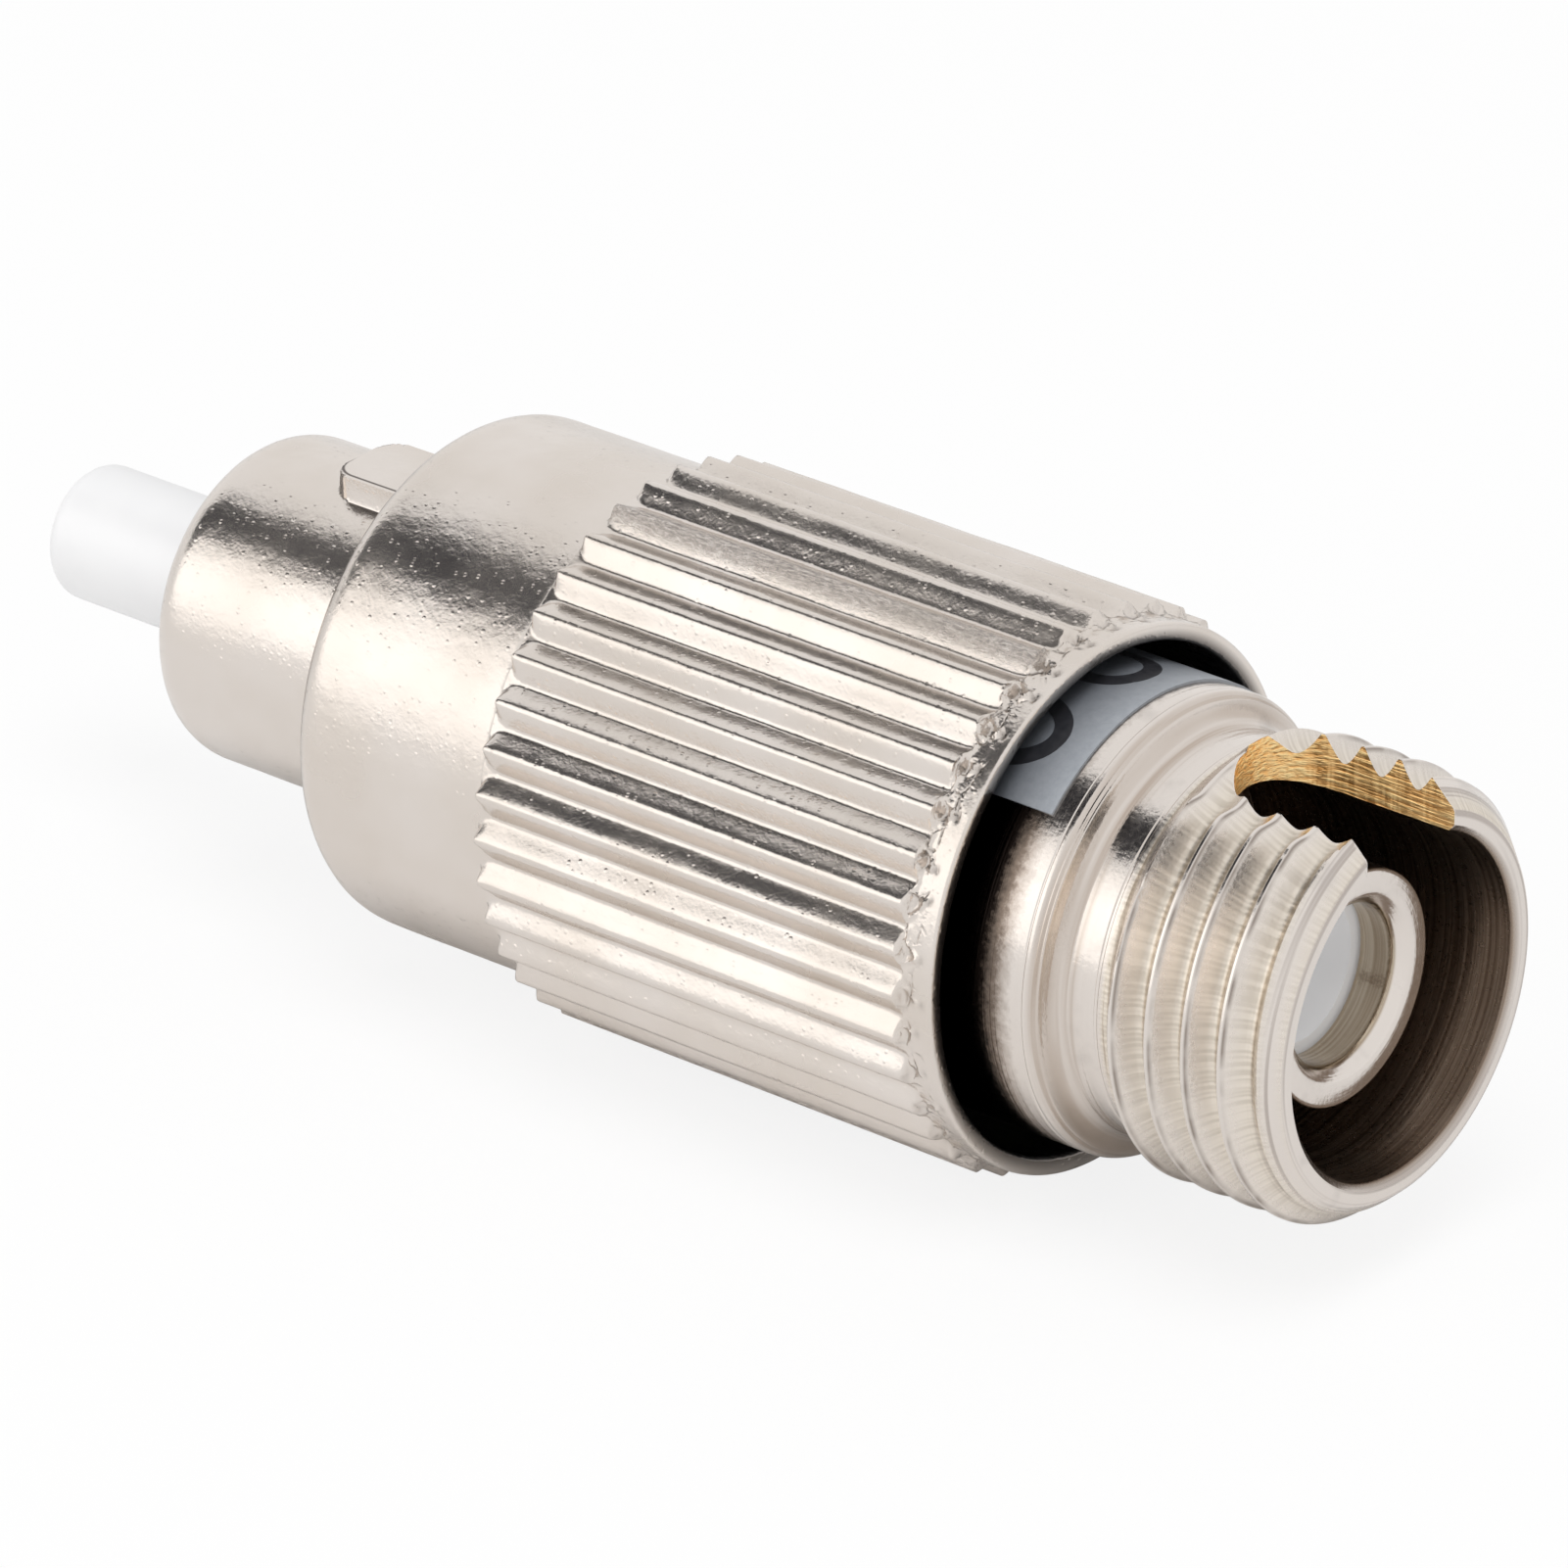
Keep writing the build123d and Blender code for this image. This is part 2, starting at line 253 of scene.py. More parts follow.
SKIRT_BORE_R = 4.53
LAND_REAR = 15.7
LAND_FRONT = 16.3
LAND_R = 3.75
GROOVE_R = 4.25
GROOVE_FRONT = 17.1
THREAD_PITCH = 0.75
NUT_THREAD_R = 3.62
NUT_THREAD_HEIGHT = 0.38
NUT_THREAD_ROWS = (17.12, 20.1, 0.05)
LEAD_IN_R = 3.7
LEAD_IN_SLOPE = 1.2
INNER_COLUMNS = 152


def rib_middle(i):
    """Angle of a rib's middle."""
    return TOP + (i + 0.5) * RIB_PITCH


def rib_columns():
    """The columns' angles, their distances from the middle of their rib, and its number."""
    pattern = [-o / RIB_MIDDLE_R for o in reversed(RIB_OFFSETS[1:])]
    pattern += [o / RIB_MIDDLE_R for o in RIB_OFFSETS]
    pattern.append(RIB_PITCH / 2)
    angles = np.array([rib_middle(i) + o for i in range(RIB_COUNT) for o in pattern])
    offsets = np.tile([o * RIB_MIDDLE_R for o in pattern], RIB_COUNT)
    return angles, offsets, np.repeat(np.arange(RIB_COUNT), len(pattern))


def nut_rows():
    """Places and radii of the nut's outside; the ribbed rows have 0 for a radius."""
    front = round_front(NUT_FRONT, SMOOTH_R, along=0.62, inwards=0.48, steps=9)
    smooth = [(p, SMOOTH_R) for p in falling(SMOOTH_ROWS)]
    ribbed = [(p, 0) for p in falling(KNURL_ROWS)]
    rim = [(NUT_REAR + before, RIM_R - inside) for before, inside in RIM_ROUND]
    table = np.array(front + smooth + ribbed + rim)
    return table[:, :1], table[:, 1:]


def knurl_floor(place):
    """Radius between the ribs: a fine groove at their start, a slope up to the rim."""
    radius = SMOOTH_R + (VALLEY_R - SMOOTH_R) * smooth_step(KNURL_START, KNURL_START - KNURL_STEP, place)
    radius = radius + (RIM_R - VALLEY_R) * smooth_step(RIM_START, RIM_FULL, place)
    return radius - START_GROOVE_DEPTH * bell(place - KNURL_START - 0.03, START_GROOVE_WIDTH)


def rib_rise(place, angles, offsets):
    """How far the ribs rise, 0 to 1: sloped sides, a narrow crown and a round nose."""
    back = 1 - np.clip((RIB_START - place) / RIB_NOSE, 0, 1)
    half = RIB_HALF * np.sqrt(np.maximum(1 - back ** 2, 1e-6))
    half = half * (1 + 0.05 * ripple(place[:, 0], angles, RIB_MIDDLE_R, scale=1.4, seed=31))
    rise = np.clip((1 - np.abs(offsets) / half) / (1 - RIB_CROWN / RIB_HALF), 0, 1)
    rise = 0.8 * rise + 0.2 * smooth_step(0, 1, rise)
    rise = rise * smooth_step(0, 0.1, RIB_START - place)
    jag = 0.05 * ripple([0], angles, RIB_MIDDLE_R, scale=2.2, seed=40)[0]
    return rise * smooth_step(0, 0.07, place - RIB_END - jag)


def segment_distance(u, v, a, b):
    """Distance of the points (u, v) from the segment a to b."""
    ax, ay = a
    dx, dy = b[0] - ax, b[1] - ay
    t = np.clip(((u - ax) * dx + (v - ay) * dy) / (dx * dx + dy * dy), 0, 1)
    return np.hypot(u - ax - t * dx, v - ay - t * dy)


def torn_ends(place, angles, offsets, index):
    """Lips, hollows and pits where the ribs run out at the rim, and how torn each column is."""
    turn = (np.degrees(angles) - TORN_ANGLE + 180) % 360 - 180
    torn = np.clip(1 - np.abs(turn) / TORN_REACH, TORN_LEAST, 1) ** 0.5
    lip, hollow, pit = np.zeros((3, len(place), len(angles)))
    for i in range(RIB_COUNT):
        mine = index == i
        u, v = np.broadcast_arrays(RIB_END - place, offsets[mine])
        tip = (random.uniform(*TIP_BEHIND), random.uniform(*TIP_ASIDE))
        upper = (random.uniform(*UPPER_BEHIND), random.uniform(*UPPER_ASIDE))
        lower = (random.uniform(*LOWER_BEHIND), random.uniform(*LOWER_ASIDE))
        height = random.uniform(*LIP_HEIGHT)
        curl = np.minimum(segment_distance(u, v, upper, tip), segment_distance(u, v, tip, lower))
        between = segment_distance(u, v, upper, (JOINT_BEHIND, JOINT_ASIDE))
        between = np.minimum(between, segment_distance(u, v, lower, (JOINT_BEHIND, -JOINT_ASIDE)))
        ridge = np.maximum(bell(curl, LIP_WIDTH), 0.5 * bell(between, LIP_WIDTH))
        lip[:, mine] = height * torn[mine] * ridge
        pit[:, mine] = torn[mine] * bell(np.hypot(u - tip[0] - 0.07, (v - tip[1]) / 1.6), PIT_WIDTH)
        within = smooth_step(-0.02, 0.05, u) * smooth_step(tip[0] * 0.9, tip[0] * 0.4, u)
        hollow[:, mine] = torn[mine] * within * smooth_step(0.2, 0.1, np.abs(v - tip[1] * 0.5))
    return lip, hollow, pit, torn


def nut_inside(angles):
    """Points inside the nut: skirt, land, groove, thread and mouth, and the number of rows."""
    outline = [(NUT_REAR, 4.6), (6.23, 4.55), (6.3, SKIRT_BORE_R), (15.66, SKIRT_BORE_R)]
    outline += [(LAND_REAR, 4.5), (LAND_REAR, 3.78), (15.73, LAND_R), (16.27, LAND_R), (LAND_FRONT, 3.78)]
    outline += [(LAND_FRONT, 4.22), (16.33, GROOVE_R), (17.07, GROOVE_R), (GROOVE_FRONT, 4.22)]
    outline += [(GROOVE_FRONT, 4.0)] + [(p, 0) for p in spread(*NUT_THREAD_ROWS)]
    outline += [(20.2, 3.8), (20.38, 3.96), (20.44, 4.01), (NUT_FRONT, 4.06)]
    table = np.array(outline)
    place, base = table[:, :1], table[:, 1:]
    turns = place / THREAD_PITCH + angles / TURN
    depth = np.abs((turns % 1) - 0.5) * 2
    thread = NUT_THREAD_R + NUT_THREAD_HEIGHT * np.clip((depth - 0.12) / 0.8, 0, 1)
    lead_in = LEAD_IN_R + np.minimum(place - 17.05, NUT_FRONT - place) * LEAD_IN_SLOPE
    thread = np.maximum(np.minimum(thread, lead_in), NUT_THREAD_R)
    return ring_points(place, np.where(base == 0, thread, base), angles), len(outline)


def nut_ends(rows, columns, inner_rows):
    """Faces at the nut's two ends, from the columns outside to the fewer columns inside."""
    every = columns // INNER_COLUMNS
    rear, rear_inside = (rows - 1) * columns, rows * columns
    front_inside = rear_inside + (inner_rows - 1) * INNER_COLUMNS
    faces = []
    for k in range(INNER_COLUMNS):
        n = (k + 1) % INNER_COLUMNS
        fine = [(k * every + e) % columns for e in range(every + 1)]
        faces.append([rear + e for e in fine] + [rear_inside + n, rear_inside + k])
        faces.append(fine[::-1] + [front_inside + k, front_inside + n])
    return faces


def rough_ribs():
    """1 for each rib with a rough crown: one near 75 degrees, and a few of those past 120."""
    picked = [random.random() < 0.1 for _ in range(RIB_COUNT)]
    angles = [math.degrees(rib_middle(i)) % 360 for i in range(RIB_COUNT)]
    return np.array([int(pick and a >= 120 or 70 < a < 80) for pick, a in zip(picked, angles)])


def coupling_nut():
    angles, offsets, index = rib_columns()
    columns = len(angles)
    place, base = nut_rows()
    rows = len(place)
    rise = rib_rise(place, angles, offsets)
    uneven = ripple(place[:, 0], angles, RIB_MIDDLE_R, scale=0.9, seed=3) * 0.008
    uneven += ripple(place[:, 0], angles, RIB_MIDDLE_R, scale=3.1, seed=11) * 0.003
    heights = np.array([random.uniform(-1, 1) for _ in range(RIB_COUNT)])
    top = RIB_TOP_R + heights[index] * 0.008 - 0.004
    lip, hollow, pit, torn = torn_ends(place, angles, offsets, index)
    frayed = 1 + 0.5 * ripple(place[:, 0], angles, RIB_MIDDLE_R, scale=6.0, seed=71)
    floor_r = knurl_floor(place)
    knurl = floor_r + (top - floor_r) * rise + lip * frayed - HOLLOW_DEPTH * hollow - PIT_DEPTH * pit
    fade = smooth_step(0, 0.4, NUT_FRONT - place) * smooth_step(NUT_REAR, 6.5, place)
    radius = np.minimum(np.where(base == 0, knurl, base) + uneven * fade, RIB_TOP_R)
    outside = ring_points(place, radius, angles)
    inside, inner_rows = nut_inside(angles[:: columns // INNER_COLUMNS])
    points = np.vstack([outside, inside])
    faces = ring_faces(rows, columns)
    faces += [face[::-1] for face in ring_faces(inner_rows, INNER_COLUMNS, len(outside))]
    faces += nut_ends(rows, columns, inner_rows)
    nut = make_object("coupling_nut_casting", points, faces, "nut", 60)
    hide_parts("coupling_nut")
    # Painted shade along the front edge, where the nut meets the frame; it is stored with the dirt of the
    # torn hollows and pits
    front_edge_shade = 0.75 * bell(NUT_FRONT - 0.16 - place, 0.05)
    paint(nut, "dark_marks", np.maximum(np.maximum(0.35 * hollow, front_edge_shade), pit))
    near_end = smooth_step(RIB_END - 0.42, RIB_END - 0.25, place)
    near_end = near_end * smooth_step(RIB_END + 0.16, RIB_END, place)
    paint(nut, "torn", near_end * torn)
    paint(nut, "rough", rough_ribs()[index] * rise)
    # Marks the inside, which the material darkens as painted shade
    paint(nut, "inside", np.arange(len(points)) >= len(outside))
    return nut


# Plug frame: a cast tube with the locating key
FRAME_R = 3.0
FRAME_BORE_R = 2.25
FRAME_FRONT = 25.25
FRAME_COLUMNS = 360
# Mesh rows as (low, high, step)
FRAME_ROWS = ((23.0, 24.45, 0.1), (22.0, 22.95, 0.035), (20.28, 21.9, 0.12))
FLANGE_FRONT = 20.2
FLANGE_REAR = 19.4
FLANGE_R = 3.45
WEB_FRONT = 21.6
WEB_REAR = 20.6
WEB_BORE_R = 1.4
SPIGOT_R = 2.75
SPIGOT_REAR = 13.2
SPIGOT_BORE_R = 2.15
KEY_FRONT = 22.8
KEY_HALF = 0.8
KEY_TOP = 3.36
KEY_CORNER = 0.48
KEY_FLANK = 0.06

# The body's end, against which the frame stands
BARREL_END = 15.2


def plug_frame():
    angles = circle(FRAME_COLUMNS)
    outer = round_front(FRAME_FRONT, FRAME_R, along=0.72, inwards=0.62, steps=10)
    outer += [(p, FRAME_R) for p in falling(FRAME_ROWS)]
    rest = softened([
        (FLANGE_FRONT, FRAME_R), (FLANGE_FRONT, FLANGE_R), (FLANGE_REAR, FLANGE_R), (FLANGE_REAR, FRAME_R),
        (BARREL_END, FRAME_R), (BARREL_END, SPIGOT_R), (SPIGOT_REAR, SPIGOT_R), (SPIGOT_REAR, SPIGOT_BORE_R),
        (WEB_REAR, SPIGOT_BORE_R), (WEB_REAR, WEB_BORE_R), (WEB_FRONT, WEB_BORE_R),
        (WEB_FRONT, FRAME_BORE_R), (FRAME_FRONT, FRAME_BORE_R),
    ], 0.05, 2)
    places, radii = revolved(outer + rest, FRAME_COLUMNS)
    faces = ring_faces(len(places), FRAME_COLUMNS, closed=True)
    outside = places[: len(outer)]
    along = np.maximum(outside - (KEY_FRONT - KEY_CORNER), 0)
    side = np.maximum(np.abs(FRAME_R * (angles - TOP)) - (KEY_HALF - KEY_CORNER), 0)
    lift = smooth_step(0, KEY_FLANK, KEY_CORNER - np.hypot(along, side))
    flat_top = KEY_TOP / np.maximum(np.sin(angles), 0.5)
    radii[: len(outer)] += lift * (flat_top - radii[: len(outer)])
    uneven = ripple(outside[:, 0], angles, FRAME_R, scale=1.1, seed=23) * 0.008
    radii[: len(outer)] += uneven * smooth_step(0, 0.3, FRAME_FRONT - outside)
    points = ring_points(places, radii, angles)
    piece = make_object("plug_frame_casting", points, faces, "core", 50)
    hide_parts("plug_frame")
    return piece


# Turned body with its external thread
BODY_COLUMNS = 320
BARREL_R = 4.1
NECK_R = 3.56
SOCKET_R = 3.05
SOCKET_DEPTH = 5.4
SEAT_PLACE = 12.2
SEAT_R = 2.35
MOUTH_EDGE_R = 3.17
THREAD_END = 3.6
THREAD_ROOT_R = 3.55
THREAD_HEIGHT = 0.42
THREAD_MIDDLE_R = 3.8
CREST_AT_TOP = -0.35
RIDGE_HALF = 0.36
RIDGE_FLANK = 0.325
RIDGE_CURVE = 1.45
# The two chamfers of the thread: radius at the end, and how it grows over a length
MOUTH_R = 3.42
MOUTH_LENGTH = 0.62
MOUTH_HEIGHT = 0.57
RUN_OUT_LENGTH = 0.42
RUN_OUT_HEIGHT = 0.43
# Mesh rows of one thread pitch, as distances from the crest
# The row that carries a thin line of painted shade beside each crest
CREST_SHADE_ROW = -0.05
THREAD_ROWS = (
    -0.33, -0.27, -0.21, -0.15, -0.09, CREST_SHADE_ROW, -0.022, 0,
    0.022, 0.05, 0.09, 0.15, 0.21, 0.27, 0.33, 0.375,
)
NICK_COUNT = 45
NICK_PLACES = (0.2, 3.4)
NICK_WIDTH = 0.05
NICK_LENGTHS = (0.03, 0.09)
NICK_DEPTHS = (0.006, 0.02)
NICK_R = 3.9


def thread_radius(places, angles):
    """Radius of the threaded end, trimmed by its two chamfers, and how near a crest it is."""
    crest = CREST_AT_TOP + THREAD_PITCH * (TOP - angles) / TURN
    phase = (-places - crest) / THREAD_PITCH
    away = np.abs(phase - np.round(phase)) * THREAD_PITCH
    rise = np.clip((RIDGE_HALF - away) / RIDGE_FLANK, 0, 1) ** RIDGE_CURVE
    # Dulled crests beside the keyway
    up = np.degrees(angles) % 360
    dull = 0.6 * smooth_step(60, 70, up) * (up < 90)
    radius = THREAD_ROOT_R + THREAD_HEIGHT * rise * (1 - dull)
    mouth = MOUTH_R + places / MOUTH_LENGTH * MOUTH_HEIGHT
    run_out = NECK_R + (THREAD_END - places) / RUN_OUT_LENGTH * RUN_OUT_HEIGHT
    return np.minimum(radius, np.minimum(mouth, run_out)), rise


def thread_places(angles, low, high):
    """Places of mesh rows that follow the thread; one turn shifts them by one pitch."""
    first = -CREST_AT_TOP + THREAD_PITCH * (angles - TOP) / TURN
    rows = [first + THREAD_PITCH * turn + row for turn in range(-3, 7) for row in THREAD_ROWS]
    return np.clip(np.array(rows), low, high)


def thread_faces(rows, columns, start):
    """Quads between rows that follow the thread."""
    faces = []
    turn = len(THREAD_ROWS)
    for i in range(rows - 1):
        here, there = start + i * columns, start + (i + 1) * columns
        for j in range(columns - 1):
            faces.append((here + j, here + j + 1, there + j + 1, there + j))
        if i + turn + 1 < rows:
            ahead = here + turn * columns
            faces.append((here + columns - 1, ahead, ahead + columns, there + columns - 1))
    return faces


def thread_nicks(thread, angles):
    """Depth of the small dents along the thread."""
    nicks = np.zeros_like(thread)
    for _ in range(NICK_COUNT):
        place, angle = random.uniform(*NICK_PLACES), random.uniform(0, TURN)
        turn = np.abs((angles - angle + math.pi) % TURN - math.pi)
        spot = ((thread - place) / NICK_WIDTH) ** 2 + (turn * NICK_R / random.uniform(*NICK_LENGTHS)) ** 2
        nicks += random.uniform(*NICK_DEPTHS) * np.exp(-spot)
    return nicks


def welded(points, faces):
    """Points without doubles, faces without collapsed corners, and which points were kept."""
    _, kept, index = np.unique(np.round(points, 6), axis=0, return_index=True, return_inverse=True)
    index = index.ravel()
    out = []
    for face in faces:
        corners = [int(index[c]) for c in face]
        corners = [c for k, c in enumerate(corners) if c != corners[k - 1]]
        if len(corners) > 2:
            out.append(corners)
    return points[kept], out, kept


def receptacle_body():
    columns = BODY_COLUMNS
    angles = circle(columns)
    front = [(0.0, MOUTH_EDGE_R), (0.0, 3.36), (0.005, 3.4)]
    shoulder = softened([
        (THREAD_END, NECK_R), (3.72, NECK_R), (3.735, 3.54), (3.785, 3.54), (3.8, NECK_R), (4.16, NECK_R),
        (4.3, 3.575), (4.4, 3.62), (4.49, 3.7), (4.56, 3.8), (4.61, 3.9), (4.64, 3.98), (4.68, 3.985),
        (4.7, 4.03), (4.745, 4.035), (4.765, 4.075), (4.81, BARREL_R), (4.87, BARREL_R), (4.885, 4.085),
        (4.905, 4.085), (4.92, BARREL_R), (5.0, BARREL_R), (5.1, BARREL_R), (6.5, BARREL_R),
        (BARREL_END, BARREL_R), (BARREL_END, SPIGOT_R),
    ], 0.022)[1:-1]
    inner = softened([
        (BARREL_END, SPIGOT_R), (SEAT_PLACE, SPIGOT_R), (SEAT_PLACE, SEAT_R), (SOCKET_DEPTH, SEAT_R),
        (SOCKET_DEPTH, SOCKET_R), (0.1, SOCKET_R), (0.0, MOUTH_EDGE_R),
    ], 0.03, 2)[:-1]
    thread = thread_places(angles, 0.03, 3.62)
    crested, rise = thread_radius(thread, angles)
    crested = crested - thread_nicks(thread, angles) * (rise > 0.6)
    front_places, front_radii = revolved(front, columns)
    rest_places, rest_radii = revolved(shoulder + inner, columns)
    places = np.vstack([front_places, thread, rest_places])
    radii = np.vstack([front_radii, crested, rest_radii])
    begin, end = len(front), len(front) + len(thread)
    faces = ring_faces(begin + 1, columns)
    faces += thread_faces(len(thread), columns, begin * columns)
    faces += ring_faces(len(places) - end + 1, columns, (end - 1) * columns)
    tail = (len(places) - 1) * columns
    for j in range(columns):
        k = (j + 1) % columns
        faces.append((tail + j, tail + k, k, j))
    points, faces, kept = welded(ring_points(places, radii, angles), faces)
    body = make_object("receptacle_turned", points, faces, "core", 35)
    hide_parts("receptacle_body")
    valley, crest_shade, threaded = np.zeros((3, *places.shape))
    valley[begin:end] = 1 - rise
    # Painted shade: a thin dark line beside each crest
    crest_shade[begin + THREAD_ROWS.index(CREST_SHADE_ROW) : end : len(THREAD_ROWS)] = 1
    crest_shade *= (places > 0.6) & (places < 3.4)
    threaded[begin:end] = 0.9 * smooth_step(0.4, 0.6, thread) * smooth_step(THREAD_END, 3.5, thread)
    outside = np.ones_like(places)
    outside[-len(inner):] = 0
    paints = {
        "valley": valley,
        "crest_shade": crest_shade,
        "thread": threaded,
        "bore": 1 - outside,
        "barrel": (places > 5.05) * outside,
        "mouth": smooth_step(0.7, 0.4, places) * outside,
        "cone": smooth_step(4.1, 4.3, places) * smooth_step(4.85, 4.7, places) * outside,
    }
    for name, values in paints.items():
        paint(body, name, values.ravel()[kept])
    return body


# Keyway milled through the wall of the socket
KEYWAY_HALF = 1.2
KEYWAY_END = 3.35
CUTTER_FRONT = 1.0
CUTTER_LOW = 1.5
CUTTER_HIGH = 5.5
CUTTER_STEPS = 24


def keyway_cutter():
    """A round-ended bar that cuts the keyway; its faces carry the bare brass."""
    outline = [(CUTTER_FRONT, KEYWAY_HALF), (CUTTER_FRONT, -KEYWAY_HALF)]
    for k in range(CUTTER_STEPS + 1):
        a = -math.pi / 2 - math.pi * k / CUTTER_STEPS
        x = KEYWAY_HALF - KEYWAY_END + KEYWAY_HALF * math.cos(a)
        outline.append((x, KEYWAY_HALF * math.sin(a)))
    count = len(outline)
    points = [Vector((x, y, z)) * MM for z in (CUTTER_LOW, CUTTER_HIGH) for x, y in outline]
    faces = [list(range(count))[::-1], list(range(count, 2 * count))]
    for k in range(count):
        n = (k + 1) % count
        faces.append([k, n, count + n, count + k])
    return add("keyway_cutter", closed_mesh("keyway_cutter", points, faces))


def cut_keyway(body, brass):
    """Cut the keyway into the body's mesh and keep the brass on the cut faces."""
    cutter = keyway_cutter()
    cutter.data.materials.append(brass)
    body.data.materials.append(brass)
    cut = body.modifiers.new("keyway", "BOOLEAN")
    cut.operation = "DIFFERENCE"
    cut.object = cutter
    cut.solver = "EXACT"
    cut.material_mode = "TRANSFER"
    bpy.context.view_layer.update()
    graph = bpy.context.evaluated_depsgraph_get()
    mesh = bpy.data.meshes.new_from_object(body.evaluated_get(graph))
    body.modifiers.clear()
    body.data = mesh
    bpy.data.objects.remove(cutter)
    shade(body, 35)


# Plain turned and ground pieces
HOLDER_FRONT = 1.12
HOLDER_R = 2.095
HOLDER_FLANGE_R = 2.6
HOLDER_BORE_R = 1.64
HOLDER_HOLE_R = 1.415
HOLDER_HOLE_END = 2.05
COUNTERSINK = 0.24
LIP_START = 1.3
LIP_R = 1.5
CRUMBS_R = 1.75
CRUMBS_ANGLE = 1.75
FIBRE_R = 0.0625
FERRULE_R = 1.2495
FERRULE_FACE_R = 1.03
FERRULE_TIP = 29.25
FERRULE_REAR = 9.05
FERRULE_EDGE = 0.22


def sleeve_holder():
    holder = lathe("sleeve_holder_turned", [
        (HOLDER_FRONT + COUNTERSINK, HOLDER_HOLE_R), (HOLDER_FRONT, HOLDER_HOLE_R + COUNTERSINK),
        (HOLDER_FRONT, HOLDER_R), (SOCKET_DEPTH, HOLDER_R), (SOCKET_DEPTH, SEAT_R), (SEAT_PLACE, SEAT_R),
        (SEAT_PLACE, HOLDER_FLANGE_R), (SPIGOT_REAR, HOLDER_FLANGE_R), (SPIGOT_REAR, HOLDER_BORE_R),
        (HOLDER_HOLE_END, HOLDER_BORE_R), (HOLDER_HOLE_END, HOLDER_HOLE_R),
    ], "core", columns=160, size=0.09)
    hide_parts("sleeve_holder")
    x, y, z = np.array([v.co for v in holder.data.vertices]).T / MM
    radius, angle = np.hypot(y, z), np.arctan2(z, -y)
    in_hole = x < -LIP_START
    paint(holder, "lip", (radius < LIP_R) & in_hole)
    paint(holder, "dark_marks", (radius < CRUMBS_R) & in_hole & (np.cos(angle - CRUMBS_ANGLE) > 0.8))
    return holder


def ferrule():
    piece = lathe("ferrule_ground", [
        (FERRULE_TIP, FIBRE_R), (FERRULE_TIP, FERRULE_FACE_R), (FERRULE_TIP - FERRULE_EDGE, FERRULE_R),
        (FERRULE_REAR + FERRULE_EDGE, FERRULE_R), (FERRULE_REAR, FERRULE_FACE_R), (FERRULE_REAR, FIBRE_R),
    ], "ferrule_unit", columns=128, size=0.2)
    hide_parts("ferrule")
    return piece


# Coil spring between the ferrule's collar and the washer
SPRING_FRONT = 19.13
SPRING_REAR = 13.67
SPRING_TURNS = 4
SPRING_R = 1.82
WIRE_R = 0.165
WIRE_COLUMNS = 12
ROWS_PER_TURN = 40


def float_spring():
    """Round wire wound round the axis, riding on no body."""
    rows = SPRING_TURNS * ROWS_PER_TURN + 1
    turn = np.linspace(0, SPRING_TURNS * TURN, rows)
    outwards = np.stack([np.zeros(rows), np.sin(turn), -np.cos(turn)], 1)
    centre = SPRING_R * outwards
    centre[:, 0] = np.linspace(-SPRING_FRONT, -SPRING_REAR, rows)
    ahead = np.gradient(centre, axis=0)
    ahead /= np.linalg.norm(ahead, axis=1)[:, None]
    across = np.cross(ahead, outwards)
    ring = circle(WIRE_COLUMNS)[None, :, None]
    round_wire = np.cos(ring) * outwards[:, None] + np.sin(ring) * across[:, None]
    points = (centre[:, None] + WIRE_R * round_wire).reshape(-1, 3)
    faces = ring_faces(rows, WIRE_COLUMNS)
    faces.append(list(range(WIRE_COLUMNS)))
    faces.append([(rows - 1) * WIRE_COLUMNS + k for k in reversed(range(WIRE_COLUMNS))])
    spring = make_object("float_spring_wire", points, faces, None)
    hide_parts("float_spring")
    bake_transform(spring)
    return spring


# Printed digits on the paper label
LABEL_R = 4.15
STROKE_WIDTH = 0.32
STROKE_LIFTS = (-0.01, 0.004)
DIGIT_HALF_WIDE = 9.6
OVAL_STEPS = 48


def ink_stroke(name, line):
    """A flat printed line on the label; points are (place, degrees)."""
    line = [Vector((p, math.radians(a) * LABEL_R)) for p, a in line]
    points, faces = [], []
    for i, point in enumerate(line):
        ahead = line[min(i + 1, len(line) - 1)] - line[max(i - 1, 0)]
        across = Vector((-ahead.y, ahead.x)).normalized() * STROKE_WIDTH / 2
        for side in (point + across, point - across):
            for lift in STROKE_LIFTS:
                angle = side.y / LABEL_R
                radius = LABEL_R + lift
                points.append((-side.x, -radius * math.cos(angle), radius * math.sin(angle)))
    end = len(points) - 4
    for a in range(0, end, 4):
        b = a + 4
        faces += [(a + 1, a + 3, b + 3, b + 1), (a, b, b + 2, a + 2)]
        faces += [(a, a + 1, b + 1, b), (a + 2, b + 2, b + 3, a + 3)]
    faces += [(0, 2, 3, 1), (end, end + 1, end + 3, end + 2)]
    return make_object(name, points, faces, "core")


def digit_oval(name, place, angle, half_tall):
    """A closed oval round a place and an angle in degrees."""
    turns = [k / OVAL_STEPS * TURN for k in range(OVAL_STEPS + 1)]
    line = [(place + half_tall * math.cos(t), angle + DIGIT_HALF_WIDE * math.sin(t)) for t in turns]
    return ink_stroke(name, line)


def label_print():
    """A 0, and a 6 made of an oval and a stem."""
    zero = digit_oval("label_digit_0", place=6.98, angle=65.5, half_tall=0.98)
    six = digit_oval("label_digit_6", place=6.6, angle=97, half_tall=0.68)
    sweep = [(6.7 + 1.1 * math.sin(t), 106.6 - 13 * (1 - math.cos(t))) for t in np.linspace(0, 1.45, 24)]
    return zero, six, ink_stroke("label_digit_6_stem", sweep)


# Shader nodes

def material(name):
    mat = bpy.data.materials.new(name)
    mat.use_nodes = True
    return mat, mat.node_tree


def feed(tree, socket, value):
    """Link an output to a socket, or set the socket to a constant."""
    if isinstance(value, bpy.types.NodeSocket):
        tree.links.new(value, socket)
    else:
        socket.default_value = value


